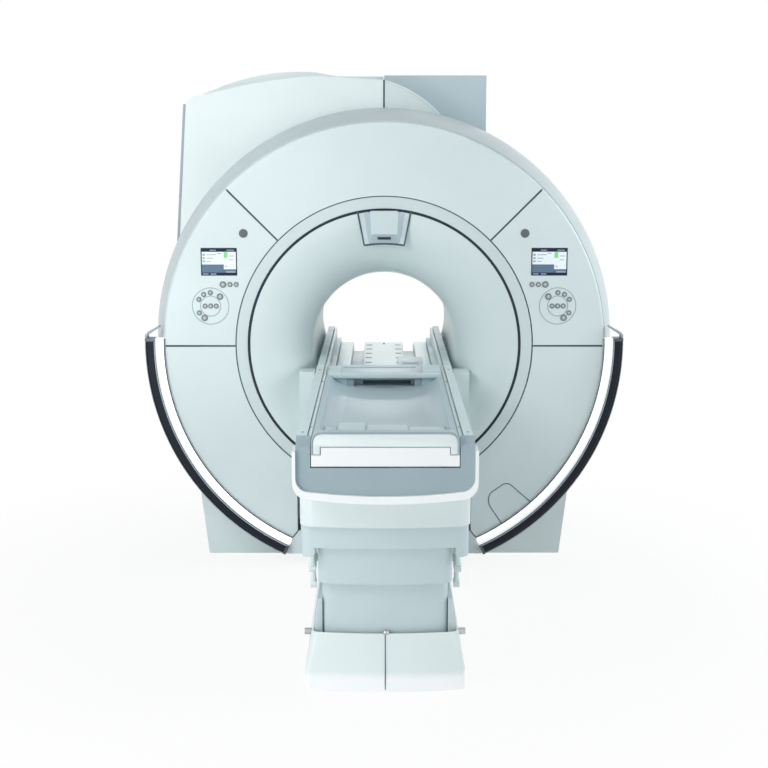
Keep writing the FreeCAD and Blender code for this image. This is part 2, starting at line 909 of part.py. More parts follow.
def make_laser_housing():
    """Alignment light pod under the bezel, its back fitted to the flare of the funnel."""
    body = new_body("laser_housing", height=size.iso_height)
    mouth = size.bezel_inner - size.seat_gap - size.cover_wall
    sections = funnel_sections(-size.pod_slip, size.face_front, mouth, size.face_lift)
    funnel_loft(body, "back", "Additive", sections, -1)
    bottom = size.pod_rise
    top = size.bezel_inner + size.face_lift
    around = size.face_hole
    bow = Bend(size.pod_bow, 1)
    pod = [(-size.pod_bottom_half, bottom), bow, (size.pod_bottom_half, bottom),
           (size.pod_top_half, top), (-size.pod_top_half, top)]
    pocket(body, "sides", "XZ_Plane", [box_outline(-around, around, -around, around), pod])
    low_half = size.pod_body_half
    high_half = size.pod_body_top_half
    low = bottom + size.pod_body_bottom
    high = bottom + size.pod_body_top
    raised = [(-low_half, low), (low_half, low), (high_half, high), (-high_half, high)]
    pad(body, "raised_body", "XZ_Plane", [raised], size.pod_body_stand,
        offset=size.face_front + size.pod_body_stand)
    slot_bottom = bottom + size.pod_slot_rise
    slot = box_outline(-size.pod_slot_half, size.pod_slot_half, slot_bottom,
                       slot_bottom + size.pod_slot_height)
    pocket(body, "light_slot", "XZ_Plane", [slot], size.cover_wall, offset=size.face_front)


# ---------------------------------------------------------------- shoulder, sides and top

def make_shoulder_cover():
    """The drum-shaped cover behind the face; its two flanges carry the covers around it."""
    body = new_body("shoulder_cover", height=size.face_height)
    wall = size.cover_wall
    lip = size.face_radius + size.seat_gap
    front = size.face_front - size.face_return - size.seat_gap
    run = front - size.shoulder_widest
    rise = size.shoulder_radius - lip - wall
    bulge = (run * run + rise * rise) / (rise * 2)
    tail = size.shoulder_widest - size.shoulder_back
    drop = bulge - root(bulge * bulge - tail * tail)
    inner = bulge - wall
    short = tail - wall
    inner_drop = inner - root(inner * inner - short * short)
    back = size.shoulder_back
    profile = [
        (-front, size.face_radius - size.flange), (-front, lip + wall), Bend(bulge, 1),
        (-size.shoulder_widest, size.shoulder_radius), Bend(bulge, 1),
        (-back, size.shoulder_radius - drop), (-back, size.back_flange),
        (-back - wall, size.back_flange),
        (-back - wall, size.shoulder_radius - wall - inner_drop), Bend(inner, -1),
        (-size.shoulder_widest, size.shoulder_radius - wall), Bend(inner, -1),
        (-front + wall, lip), (-front + wall, size.face_radius - size.flange),
    ]
    turned(body, "drum", [profile])
    reach = size.shoulder_radius + size.seam
    pocket(body, "floor_cut", "XZ_Plane",
           [box_outline(-reach, reach, -reach, size.floor_gap - size.face_height)], front,
           offset=front + size.seam)


def side_line(inset):
    """Line of the right-hand side cover from the floor to its top, moved in by the inset."""
    lower = size.side_waist_half - inset
    upper = size.side_half - inset
    return [
        (size.side_floor_half - inset, 0), (lower, size.side_waist_height),
        (upper, size.iso_height), (upper, size.side_top),
    ]


def make_side_covers():
    """Left and right side covers from the floor up, with the front corner blocks."""
    body = new_body("side_covers")
    body.AllowCompound = True
    wall = size.cover_wall
    keep_out = size.shoulder_radius + size.seat_gap
    corner = size.side_waist_half + size.corner_lap
    corner_height = size.face_height - root(keep_out * keep_out - corner * corner)
    inner = size.block_inner_half
    inner_height = size.face_height - root(keep_out * keep_out - inner * inner)
    start = size.shoulder_back - size.seat_gap
    for side in ("left", "right"):
        skin = side_line(0) + side_line(wall)[::-1]
        block = [(inner, 0), (size.side_floor_half, 0),
                 (size.side_waist_half, size.side_waist_height), (corner, corner_height),
                 Bend(keep_out, 1), (inner, inner_height)]
        flip = mirrored if side == "left" else list
        pad(body, f"{side}_skin", "XZ_Plane", [flip(skin)], start + size.enclosure_back,
            offset=start)
        pad(body, f"{side}_block", "XZ_Plane", [flip(block)],
            size.block_front - start + wall, offset=size.block_front)


def crown_corner(inset, rise):
    """Left end of the crown line: down past the shoulder and round the top corner."""
    return [
        (-size.top_shoulder_half + inset, size.top_shoulder - inset + rise),
        Bend(size.top_corner_bend, -1),
        (-size.top_corner_half + inset, size.top_corner - inset),
    ]


def front_crown(inset):
    return [
        (-size.seam / 2 - inset, size.top_middle - inset),
        (-size.top_peak_half, size.top_peak - inset), Bend(size.top_bend, -1),
    ] + crown_corner(inset, 0)


def rear_crown(inset):
    """Crown line behind the step: level with the tower, then a rounder bow."""
    return [
        (-size.rear_step_half, size.tower_top - inset),
        (-size.top_peak_half, size.top_peak + size.top_step_rise - inset),
        Bend(size.rear_bend, -1),
    ] + crown_corner(inset, size.top_step_rise)


def top_crescent(inset, crown):
    """Section of the left top cover under the crown line, open to clear the vessel."""
    inner = size.top_inner + inset
    side = size.side_half - inset
    foot = size.side_top + size.seam + inset
    near = size.seam / 2 + inset
    across = root(inner * inner - (foot - size.face_height) * (foot - size.face_height))
    return [
        (-side, foot), (-across, foot), Bend(inner, 1),
        (-near, size.face_height + root(inner * inner - near * near)),
    ] + crown


def make_left_top_cover():
    """High left crown of the enclosure, hollow, with its rear part a step higher."""
    body = new_body("left_top_cover")
    wall = size.cover_wall
    start = size.shoulder_back - size.seat_gap
    step = size.top_step
    back = size.enclosure_back
    near = size.seam / 2

    def rear_line(inset):
        return [(-near - inset, size.tower_top - inset)] + rear_crown(inset)

    for kind, line, front, rear in (("front", front_crown, start, -step),
                                    ("rear", rear_line, step, back)):
        pad(body, kind, "XZ_Plane", [top_crescent(0, line(0))], front + rear, offset=front)
    for kind, line, front, rear in (("front", front_crown, start - wall, -step + wall),
                                    ("rear", rear_line, step - wall, back)):
        pocket(body, f"{kind}_hollow", "XZ_Plane", [top_crescent(wall, line(wall))],
               front + rear, offset=front)


def crest_outline(inset):
    """Falling right-hand end of the crown, down to the shoulder."""
    foot_side = size.crest_side - inset
    inner = size.shoulder_radius - size.crest_depth + inset
    near = size.seam / 2 + inset
    return [
        (near, size.top_middle - inset), Bend(size.shoulder_radius / 2, 1),
        (foot_side, size.crest_foot - inset),
        (foot_side, size.face_height + root(inner * inner - foot_side * foot_side)),
        Bend(inner, -1),
        (near, size.face_height + root(inner * inner - near * near)),
    ]


def make_crest_cover():
    body = new_body("crest_cover")
    start = size.shoulder_back - size.seat_gap
    depth = start - size.crest_back
    wall = size.cover_wall
    pad(body, "shell", "XZ_Plane", [crest_outline(0)], depth, offset=start)
    pocket(body, "hollow", "XZ_Plane", [crest_outline(wall)], depth - wall,
           offset=start - wall)


def tower_outline(inset):
    """Square tower beside the middle seam, down to the arc that clears the vessel."""
    near = size.seam / 2 + inset
    far = size.tower_side - inset
    inner = size.top_inner + inset
    return [
        (near, size.tower_top - inset),
        (near, size.face_height + root(inner * inner - near * near)), Bend(inner, 1),
        (far, size.face_height + root(inner * inner - far * far)), (far, size.tower_top - inset),
    ]


def flank_outline(inset):
    """Curved flank from beside the crest down to the right side cover."""
    near = size.crest_side + size.seam + inset
    foot = size.side_top + size.seam + inset
    rise = foot - size.face_height
    side = size.side_half - inset
    inner = size.top_inner + inset
    outer = root(side * side + rise * rise)
    return [
        (near, size.face_height + root(outer * outer - near * near)),
        (near, size.face_height + root(inner * inner - near * near)), Bend(inner, 1),
        (root(inner * inner - rise * rise), foot), (side, foot), Bend(outer, -1),
    ]


def make_rear_top_cover():
    """Right-hand top cover: a curved flank and the tower over the vent turret."""
    body = new_body("rear_top_cover")
    wall = size.cover_wall
    tower_front = size.crest_back - size.seam
    flank_front = size.shoulder_back - size.seat_gap
    back = size.enclosure_back
    for name, shape, front in (("flank", flank_outline, flank_front),
                               ("tower", tower_outline, tower_front)):
        pad(body, name, "XZ_Plane", [shape(0)], front + back, offset=front)
    for name, shape, front in (("flank", flank_outline, flank_front),
                               ("tower", tower_outline, tower_front)):
        pocket(body, f"{name}_hollow", "XZ_Plane", [shape(wall)], front - wall + back,
               offset=front - wall)
    turret = size.vent_radius + size.vent_wall + size.seat_gap
    pocket(body, "vent_hole", "XY_Plane", [Ring(size.vent_side, size.vent_back, turret)],
           size.tower_top, offset=size.tower_top + size.seam, forward=False)


def make_rear_cover():
    """Rear panel of the enclosure with its own trumpet mouth."""
    body = new_body("rear_cover")
    wall = size.cover_wall
    rise = size.side_top - size.face_height
    flank = root(size.side_half * size.side_half + rise * rise)
    tower = size.tower_side
    outline = [
        (-size.side_floor_half, 0), (size.side_floor_half, 0),
        (size.side_waist_half, size.side_waist_height), (size.side_half, size.iso_height),
        (size.side_half, size.side_top), Bend(flank, -1),
        (tower, size.face_height + root(flank * flank - tower * tower)), (tower, size.tower_top),
    ] + rear_crown(0) + [
        (-size.side_half, size.side_top), (-size.side_half, size.iso_height),
        (-size.side_waist_half, size.side_waist_height),
    ]
    mouth = size.rear_hole
    pad(body, "plate", "XZ_Plane", [outline, Ring(0, size.iso_height, mouth)], wall,
        offset=-size.enclosure_back)
    depth = size.enclosure_back + wall
    funnel_loft(body, "outside", "Additive",
                funnel_sections(wall, depth, mouth, 0, size.iso_height), 1)
    funnel_loft(body, "hollow", "Subtractive",
                funnel_sections(0, depth, mouth, 0, size.iso_height), 1)


# ---------------------------------------------------------------- light bands and bumper rails

def make_light_bands():
    """Two curved diffusers along the lower outer edge of the face."""
    body = new_body("light_bands", height=size.face_height, back=-size.face_front)
    body.AllowCompound = True
    inner = size.face_radius + size.seat_gap
    outer = inner + size.band_width
    profile = [(-size.band_lead, inner), (size.face_return, inner), (size.face_return, outer),
               (-size.band_lead, outer)]
    turned(body, "right", [profile], start=size.band_start, span=size.band_span)
    turned(body, "left", [profile], start=-size.band_start - size.band_span,
           span=size.band_span)


def make_bumper_rails():
    """Two dark curved rails outside the light bands."""
    body = new_body("bumper_rails", height=size.face_height, back=-size.face_front)
    body.AllowCompound = True
    inner = size.face_radius + size.seat_gap * 2 + size.band_width
    outer = inner + size.rail_width
    front = -size.rail_lead
    back = front + size.rail_depth
    round_off = size.rail_width / 3
    profile = [(front, inner), (back, inner), (back, outer - round_off), Bend(round_off, 1),
               (back - round_off, outer), (front + round_off, outer), Bend(round_off, 1),
               (front, outer - round_off)]
    turned(body, "right", [profile], start=size.band_start, span=size.band_span)
    turned(body, "left", [profile], start=-size.band_start - size.band_span,
           span=size.band_span)


# ---------------------------------------------------------------- dock housing and bore bridge

def make_dock_housing():
    """Fairing in the foot of the face that the table docks against."""
    body = new_body("dock_housing")
    radius = size.face_radius - size.flange - size.seat_gap
    half = size.dock_half
    foot = size.face_height - root(radius * radius - half * half)
    channel = size.dock_channel_half
    floor = size.deck_height - size.deck_wall
    outline = [
        (-half, foot), Bend(radius, -1), (half, foot), (half, size.dock_top),
        (channel, size.dock_top), (channel, floor), (-channel, floor),
        (-channel, size.dock_top), (-half, size.dock_top),
    ]
    pad(body, "block", "XZ_Plane", [outline], size.dock_depth,
        offset=size.face_front + size.dock_lead)
    foot_half = size.skirt_foot_half
    edge_half = size.skirt_top_half
    neck_half = size.notch_half - size.seam
    neck = size.notch_bottom - size.seam
    skirt = [(-foot_half, size.skirt_bottom), (foot_half, size.skirt_bottom),
             (edge_half, size.skirt_top), (neck_half, neck), (-neck_half, neck),
             (-edge_half, size.skirt_top)]
    pad(body, "skirt", "XZ_Plane", [skirt], size.skirt_depth, offset=size.skirt_front)


def channel_outline(bottom):
    """Half section of the deck with its two guide rails, mirrored into a whole one."""
    deck = size.deck_height
    right = [
        (size.deck_half, bottom), (size.rail_outer, size.rail_foot),
        (size.rail_outer, size.guide_top), (size.guide_inner, size.guide_top),
        (size.guide_inner, deck),
    ]
    return right + mirrored(right)[::-1]


def make_bore_bridge():
    """Fixed deck through the bore that carries the cradle, with its side rails."""
    body = new_body("bore_bridge")
    start = size.face_front
    length = start + size.bore_length / 2
    right = [
        (size.deck_half, size.deck_height - size.deck_wall),
        (size.rail_outer, size.rail_foot), (size.rail_outer, size.rail_top),
        (size.rail_inner, size.rail_top), (size.rail_inner, size.guide_top),
        (size.guide_inner, size.guide_top), (size.guide_inner, size.deck_height),
        (size.deck_strip_inner, size.deck_height),
        (size.deck_strip_inner, size.deck_height - size.deck_channel),
        (size.deck_panel_half, size.deck_height - size.deck_channel),
        (size.deck_panel_half, size.deck_height),
    ]
    pad(body, "deck", "XZ_Plane", [right + mirrored(right)[::-1]], length, offset=start)
    notch = box_outline(size.deck_panel_half, size.deck_strip_inner, size.deck_notch_start,
                        size.bore_length)
    pocket(body, "channel_ends", "XY_Plane", [notch, mirrored(notch)])


# ---------------------------------------------------------------- patient table

def make_table_base():
    """Floor frame of the table with the flared fairings beside the column."""
    body = new_body("table_base")
    length = size.base_front - size.base_back
    plate = size.foot_half - size.foot_wall - size.seat_gap
    pad(body, "plate", "XZ_Plane", [box_outline(-plate, plate, 0, size.base_thick)], length,
        offset=size.base_front)
    tongue = size.tongue_half
    reach = size.base_back - size.face_front - size.dock_lead - size.seat_gap
    pad(body, "dock_tongue", "XZ_Plane",
        [box_outline(-tongue, tongue, size.tongue_bottom, size.base_thick)], reach,
        offset=size.base_back)
    pad(body, "dock_latch", "XZ_Plane",
        [box_outline(-tongue, tongue, size.tongue_bottom, size.latch_top)], size.latch_depth,
        offset=size.base_back - reach + size.latch_depth)
    inner = size.lower_half + size.seat_gap
    wall = size.fairing_wall_half
    fairing = [(inner, size.base_thick), (wall, size.base_thick), (wall, size.fairing_foot),
               (size.fairing_foot_half, size.fairing_foot),
               (size.fairing_bend_half, size.foot_top),
               (size.fairing_top_half, size.fairing_top), (inner, size.fairing_top)]
    for name, path in (("right", fairing), ("left", mirrored(fairing))):
        pad(body, f"{name}_fairing", "XZ_Plane", [path],
            size.fairing_front - size.base_back, offset=size.fairing_front)
    bore = Ring(-size.pedal_pivot, size.pedal_height, size.pedal_axle + size.pedal_slip)
    pocket(body, "pedal_bore", "YZ_Plane", [bore])


def bowed_outline(front, back, half, corner):
    """Plan with a bowed front that runs smoothly into its rounded corners."""
    bow = size.front_bow
    flat = half - corner
    slope = flat * bow * 2 / (flat * flat + bow * bow)
    chord = flat + corner * slope
    radius = (chord * chord + bow * bow) / (bow * 2)
    start = -front + bow
    side = start + corner * root(as_size(1) - slope * slope)
    turn = Bend(corner, -1)
    return [
        (-chord, start), Bend(radius, -1), (chord, start), turn, (half, side),
        (half, -back), (-half, -back), (-half, side), turn,
    ]


def make_foot_covers():
    """Flared skirt round the base, split down the middle into two halves."""
    body = new_body("foot_covers")
    body.AllowCompound = True
    for kind, name, inset in (("Additive", "outside", 0), ("Subtractive", "inside",
                                                          size.foot_wall)):
        feature = body.newObject(f"PartDesign::{kind}Loft", f"foot_covers_{name}")
        corner = size.foot_corner - inset
        rings = []
        for number, (height, half, front) in enumerate((
                (0, size.foot_half, size.foot_front),
                (size.foot_lip, size.foot_half + size.foot_lip_swell,
                 size.foot_front - size.foot_lip_tuck),
                (size.foot_top, size.foot_top_half, size.foot_top_front))):
            path = bowed_outline(front - inset, size.foot_back + inset, half - inset, corner)
            rings.append(new_sketch(body, f"{name}_plan{number}", "XY_Plane", [path],
                                    offset=height))
        feature.Profile = rings[0]
        feature.Sections = rings[1:]
        feature.Ruled = True
    half_seam = size.foot_seam / 2
    reach = size.foot_front + size.seam
    pocket(body, "seam", "XY_Plane", [box_outline(-half_seam, half_seam, -reach, 0)])
    gap = size.tongue_half + size.seat_gap
    pocket(body, "tongue_gap", "XZ_Plane",
           [box_outline(-gap, gap, 0, size.base_thick + size.seat_gap)], size.foot_wall * 3,
           offset=size.foot_back + size.foot_wall * 2)
    clear = size.pedal_bar_radius + size.cap_slip
    high = size.pedal_height + size.pedal_rise
    slot = box_outline(-size.pedal_front - clear, -size.pedal_front + clear,
                       high - size.pedal_travel - clear, high + clear)
    pocket(body, "pedal_slots", "YZ_Plane", [slot])


def stage_plan(stage, inset):
    """Bowed plan of one stage of the column cover, moved in by the inset."""
    half = getattr(size, f"{stage}_half") - inset
    front = getattr(size, f"{stage}_front") - inset
    back = getattr(size, f"{stage}_back") + inset
    return bowed_outline(front, back, half, size.stage_corner - inset)


def make_stage(stage, bottom, next_stage=None):
    """One stage of the telescoping cover, with a lip that slides along the next one in."""
    body = new_body(f"{stage}_column_cover")
    outer = stage_plan(stage, 0)
    top = getattr(size, f"{stage}_top")
    pad(body, "wall", "XY_Plane", [outer, stage_plan(stage, size.stage_wall)], top - bottom,
        offset=bottom)
    if next_stage:
        pad(body, "lip", "XY_Plane", [outer, stage_plan(next_stage, -size.seat_gap)],
            size.stage_lip, offset=bottom)
    return body


def make_column_covers():
    lower = make_stage("lower", size.base_thick)
    hole = Ring(-size.pedal_pivot, size.pedal_height, size.pedal_axle + size.seam)
    pocket(lower, "pedal_holes", "YZ_Plane", [hole])
    make_stage("middle", size.middle_bottom, "lower")
    upper = make_stage("upper", size.upper_bottom, "middle")
    pad(upper, "posts", "XY_Plane", [stage_plan("upper", 0), stage_plan("upper", size.stage_wall)],
        size.upper_bottom - size.post_bottom, offset=size.post_bottom)
    gap = box_outline(-size.post_inner, size.post_inner, size.post_bottom, size.upper_bottom)
    pocket(upper, "post_gap", "XZ_Plane", [gap])


def make_lift_columns():
    """Telescoping lift: a fixed outer tube and the ram that carries the table."""
    lower = new_body("lift_column", back=-size.column_centre)
    half = size.column_half
    deep = size.column_long
    wall = size.column_wall
    corner = size.column_corner
    pad(lower, "tube", "XY_Plane",
        [rounded_outline(-half, half, -deep, deep, corner),
         rounded_outline(-half + wall, half - wall, -deep + wall, deep - wall, wall)],
        size.column_top - size.base_thick, offset=size.base_thick)
    ram = new_body("lift_ram", back=-size.column_centre)
    slip = wall + size.column_slip
    pad(ram, "bar", "XY_Plane",
        [rounded_outline(-half + slip, half - slip, -deep + slip, deep - slip, wall)],
        size.frame_bottom - size.ram_bottom, offset=size.ram_bottom)


def trim_outline(inset, thicker=0):
    """U of the table end seen from the front: straight sides and a bowed bottom."""
    half = size.trim_half - inset
    corner = size.trim_corner - inset
    bottom = size.trim_bottom + inset + thicker
    turn_top = bottom + size.trim_rise + corner
    ends = half - corner
    rise = size.trim_rise
    bow = (ends * ends + rise * rise) / (rise * 2)
    return [
        (half, turn_top), Bend(corner, 1), (ends, bottom + rise), Bend(bow, 1),
        (-ends, bottom + rise), Bend(corner, 1), (-half, turn_top),
    ]


def make_table_frame():
    """Moulded carrier of the cradle: deck channel, apron, white end trim and end sill."""
    body = new_body("table_frame")
    length = size.frame_front - size.table_back
    pad(body, "channel", "XZ_Plane", [channel_outline(size.frame_bottom)], length,
        offset=size.frame_front)
    half = size.apron_half
    wall = size.stage_wall
    corner = size.apron_corner
    skirt = bowed_outline(size.apron_front, size.apron_back, half, corner)
    hollow = bowed_outline(size.apron_front - wall, size.apron_back + wall, half - wall,
                           corner - wall)
    height = size.frame_bottom - size.apron_bottom
    pad(body, "apron", "XY_Plane", [skirt, hollow], height, offset=size.apron_bottom)
    pad(body, "apron_lip", "XY_Plane", [skirt, stage_plan("upper", -size.seat_gap)],
        size.stage_lip, offset=size.apron_bottom)
    outside = trim_outline(0)
    inside = trim_outline(size.trim_side, size.trim_band - size.trim_side)
    band = [(size.trim_half, size.trim_top)] + outside + [
        (-size.trim_half, size.trim_top), (-size.trim_half + size.trim_side, size.trim_top),
    ] + reverse_path(inside) + [(size.trim_half - size.trim_side, size.trim_top)]
    pad(body, "trim", "XZ_Plane", [band],
        size.trim_front - size.upper_front - size.cap_slip, offset=size.trim_front)
    wide = size.cradle_half
    narrow = size.cap_leg_inner - size.cap_slip
    shoulder = size.cap_leg_bottom - size.cap_slip
    right = [(wide, size.sill_bottom), (wide, shoulder), (narrow, shoulder),
             (narrow, size.cap_seam - size.cap_slip)]
    pad(body, "sill", "XZ_Plane", [right + mirrored(right)[::-1]],
        size.cap_wall - size.cap_slip, offset=size.table_front)
    arm = box_outline(size.guide_inner, wide, size.sill_bottom, size.guide_top - size.cap_slip)
    pad(body, "sill_arms", "XZ_Plane", [arm, mirrored(arm)],
        size.table_front - size.frame_front, offset=size.table_front)


def make_end_panel():
    """Grey U-shaped end of the table, inside the white trim."""
    body = new_body("end_panel")
    inset = size.trim_side + size.seat_gap
    half = size.trim_half - inset
    mouth = size.end_mouth_half
    floor = size.end_mouth_bottom
    outline = [(half, size.end_top)] + trim_outline(inset, size.trim_band - size.trim_side) + [
        (-half, size.end_top), (-mouth, size.end_top), (-mouth, floor), (mouth, floor),
        (mouth, size.end_top),
    ]
    back = size.frame_front + size.seat_gap
    pad(body, "face", "XZ_Plane", [outline], size.table_front - back,
        offset=size.table_front)
    slope = [(-size.table_front, size.end_top), (-back, size.end_top), (-back, size.rail_top)]
    for name, start in (("right", mouth), ("left", -half)):
        pad(body, f"{name}_post_top", "YZ_Plane", [slope], half - mouth, offset=start)


def make_side_rails():
    """Two accessory rails along the table edges."""
    body = new_body("side_rails")
    body.AllowCompound = True
    foot = size.guide_top
    bar = box_outline(size.rail_inner, size.rail_outer, foot, size.rail_top)
    for name, path in (("right", bar), ("left", mirrored(bar))):
        pad(body, name, "XZ_Plane", [path],
            size.frame_front - size.table_back, offset=size.frame_front)


def dish_curve(offset):
    """Right half of the dish's curve: its middle height, knee, side radius and side centre."""
    bend = size.dish_bend
    knee = size.dish_knee
    sine = knee / bend
    cosine = root(as_size(1) - sine * sine)
    middle = size.dish_bottom
    knee_height = middle + bend * (as_size(1) - cosine)
    run = size.dish_half - knee
    rise = size.dish_edge - knee_height
    side_bend = (run * run + rise * rise) / ((rise * cosine - run * sine) * 2)
    centre = (knee - side_bend * sine, knee_height + side_bend * cosine)
    edge = (knee + sine * offset, knee_height - cosine * offset)
    return middle - offset, edge, side_bend + offset, centre


def make_cradle():
    """Patient cradle: a dished board with flanged edges, an end cap and a head block."""
    body = new_body("cradle")
    half = size.cradle_half
    dish = size.dish_half
    wall = size.cradle_wall
    front = size.table_front - size.cap_wall
    length = front - size.table_back
    low = size.cradle_low
    knee, side_bend = dish_curve(0)[1:3]
    under_knee, under_bend, centre = dish_curve(wall)[1:]
    drop = centre[1] - low
    under_half = centre[0] + root(under_bend * under_bend - drop * drop)
    under_side = Bend(under_bend, -1)
    under_middle = Bend(size.dish_bend + wall, -1)
    inner_side = Bend(side_bend, 1)
    board = [
        (-half, low), (-under_half, low), under_side, (-under_knee[0], under_knee[1]),
        under_middle, under_knee, under_side, (under_half, low), (half, low),
        (half, size.cradle_top), (dish, size.cradle_top), (dish, size.dish_edge), inner_side,
        knee, Bend(size.dish_bend, 1), (-knee[0], knee[1]), inner_side,
        (-dish, size.dish_edge), (-dish, size.cradle_top), (-half, size.cradle_top),
    ]
    pad(body, "board", "XZ_Plane", [board], length, offset=front)
    corner = size.cap_corner
    leg = size.cap_leg_inner
    foot = size.cap_leg_bottom
    cap = [
        (-half, foot), (-leg, foot), (-leg, size.cap_seam), (leg, size.cap_seam), (leg, foot),
        (half, foot), (half, size.cap_top - corner), Bend(corner, -1),
        (half - corner, size.cap_top), (-half + corner, size.cap_top), Bend(corner, -1),
        (-half, size.cap_top - corner),
    ]
    pad(body, "cap", "XZ_Plane", [cap], size.cap_wall, offset=size.table_front)
    inside = dish - wall
    ledge = box_outline(-inside, inside, size.dish_bottom, size.ledge_top)
    pad(body, "ledge", "XZ_Plane", [ledge], size.ledge_depth, offset=front)
    head_front = size.table_back + size.head_depth
    block = box_outline(-half, half, low, size.head_top)
    pad(body, "head_block", "XZ_Plane", [block], size.head_depth, offset=head_front)
    recess = box_outline(-size.head_recess_half, size.head_recess_half,
                         size.head_recess_floor, size.head_recess_top)
    pocket(body, "head_recess", "XZ_Plane", [recess], size.head_recess_depth,
           offset=head_front)


def make_foot_pedal():
    """Pedal with a foot bar on each side, its two arms joined by one axle through the base."""
    body = new_body("foot_pedal", back=-size.pedal_pivot, height=size.pedal_height)
    inner = size.pedal_arm_inner
    outer = size.pedal_arm_outer
    end = size.pedal_bar_end
    half = size.pedal_arm_half
    rise = size.pedal_rise
    reach = size.pedal_front - size.pedal_pivot
    pad(body, "axle", "YZ_Plane", [Ring(0, 0, size.pedal_axle)], outer * 2, offset=-outer)
    turn = Bend(size.pedal_arm_bend, -1)
    arm = [(-reach, rise - half), (0, -half), turn, (0, half), (-reach, rise + half), turn]
    bar = Ring(-reach, rise, size.pedal_bar_radius)
    for name, arm_start, bar_start in (("right", inner, inner), ("left", -outer, -end)):
        pad(body, f"{name}_arm", "YZ_Plane", [arm], outer - inner, offset=arm_start)
        pad(body, f"{name}_bar", "YZ_Plane", [bar], end - inner, offset=bar_start)


# ---------------------------------------------------------------- build, check and write

make_cryostat_vessel()
make_magnet_winding()
make_gradient_coil()
make_bore_liner()
make_magnet_feet()
make_front_funnel()
make_bezel_ring()
make_top_face_panel()
for panel_side in ("left", "right"):
    make_control_panel(panel_side)
    make_lower_panel(panel_side)
make_keys()
make_display_screens()
make_laser_housing()
make_shoulder_cover()
make_side_covers()
make_left_top_cover()
make_crest_cover()
make_rear_top_cover()
make_rear_cover()
make_light_bands()
make_bumper_rails()
make_dock_housing()
make_bore_bridge()
make_table_base()
make_foot_covers()
make_column_covers()
make_lift_columns()
make_table_frame()
make_end_panel()
make_side_rails()
make_cradle()
make_foot_pedal()

doc.recompute()
faults = [f"{item.Name}: {item.State}" for item in doc.Objects
          if "Invalid" in item.State or "Error" in item.State]
for node in nodes:
    if node.Shape.isNull() or not node.Shape.isValid():
        faults.append(f"{node.Label}: no valid shape")
if faults:
    raise RuntimeError("; ".join(faults))

os.makedirs("parts", exist_ok=True)
for node in nodes:
    box = node.Shape.optimalBoundingBox(False)
    print(f"{node.Label:22s} {len(node.Shape.Solids)} solid  {node.Shape.Volume / 1e6:9.2f} l  "
          f"x {box.XMin:7.0f} {box.XMax:7.0f}  y {box.YMin:7.0f} {box.YMax:7.0f}  "
          f"z {box.ZMin:6.0f} {box.ZMax:6.0f}")
    node.Shape.exportStep(f"parts/{node.Label}.step")
print(len(nodes), "nodes")
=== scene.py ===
import json
import math

import bmesh
import bpy
from mathutils import Matrix, Vector


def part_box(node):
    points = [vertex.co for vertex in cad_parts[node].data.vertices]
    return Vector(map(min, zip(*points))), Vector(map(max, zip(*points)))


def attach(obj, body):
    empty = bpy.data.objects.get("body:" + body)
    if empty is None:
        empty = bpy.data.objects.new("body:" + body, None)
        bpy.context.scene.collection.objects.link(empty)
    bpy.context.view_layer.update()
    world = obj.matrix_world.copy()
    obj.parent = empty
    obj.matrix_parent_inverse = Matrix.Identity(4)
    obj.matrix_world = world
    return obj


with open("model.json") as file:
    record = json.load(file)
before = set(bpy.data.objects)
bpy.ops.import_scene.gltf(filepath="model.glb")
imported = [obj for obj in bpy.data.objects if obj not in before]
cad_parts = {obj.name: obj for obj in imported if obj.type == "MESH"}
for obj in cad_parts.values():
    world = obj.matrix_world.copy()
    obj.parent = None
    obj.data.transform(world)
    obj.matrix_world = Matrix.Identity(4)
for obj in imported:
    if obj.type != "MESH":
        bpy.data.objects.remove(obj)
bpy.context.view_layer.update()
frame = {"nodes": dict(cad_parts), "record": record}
nodes = frame["nodes"]
print("stage: frame loaded,", len(nodes), "nodes")

faceCentre = Vector((0, 0, 1.090))   # axis of the round face, above the floor
scene = bpy.context.scene


# shader groups that several finishes share

def newGroup(name, inputs, outputs):
    group = bpy.data.node_groups.new(name, "ShaderNodeTree")
    for label, kind, value in inputs:
        socket = group.interface.new_socket(label, in_out="INPUT", socket_type=kind)
        socket.default_value = value
    for label, kind in outputs:
        group.interface.new_socket(label, in_out="OUTPUT", socket_type=kind)
    return group, group.nodes.new("NodeGroupInput"), group.nodes.new("NodeGroupOutput")


def addNode(tree, kind, links=(), **settings):
    node = tree.nodes.new(kind)
    for key, value in settings.items():
        if key.startswith("in_"):
            node.inputs[key[3:].replace("_", " ")].default_value = value
        else:
            setattr(node, key, value)
    for socket, source in links:
        tree.links.new(source, node.inputs[socket])
    return node


def mapRange(tree, source, low, high, fromLow=0.0, fromHigh=1.0):
    node = addNode(tree, "ShaderNodeMapRange", [("Value", source)])
    node.inputs["From Min"].default_value = fromLow
    node.inputs["From Max"].default_value = fromHigh
    for label, end in (("To Min", low), ("To Max", high)):
        if hasattr(end, "is_output"):
            tree.links.new(end, node.inputs[label])
        else:
            node.inputs[label].default_value = end
    return node.outputs["Result"]


def mixColour(tree, factor, first, second):
    node = addNode(tree, "ShaderNodeMix", data_type="RGBA")
    factorSocket, firstSocket, secondSocket, colourOut = 0, 6, 7, 2   # of the colour mode
    for socket, value in ((factorSocket, factor), (firstSocket, first), (secondSocket, second)):
        if hasattr(value, "is_output"):
            tree.links.new(value, node.inputs[socket])
        else:
            node.inputs[socket].default_value = value
    return node.outputs[colourOut]


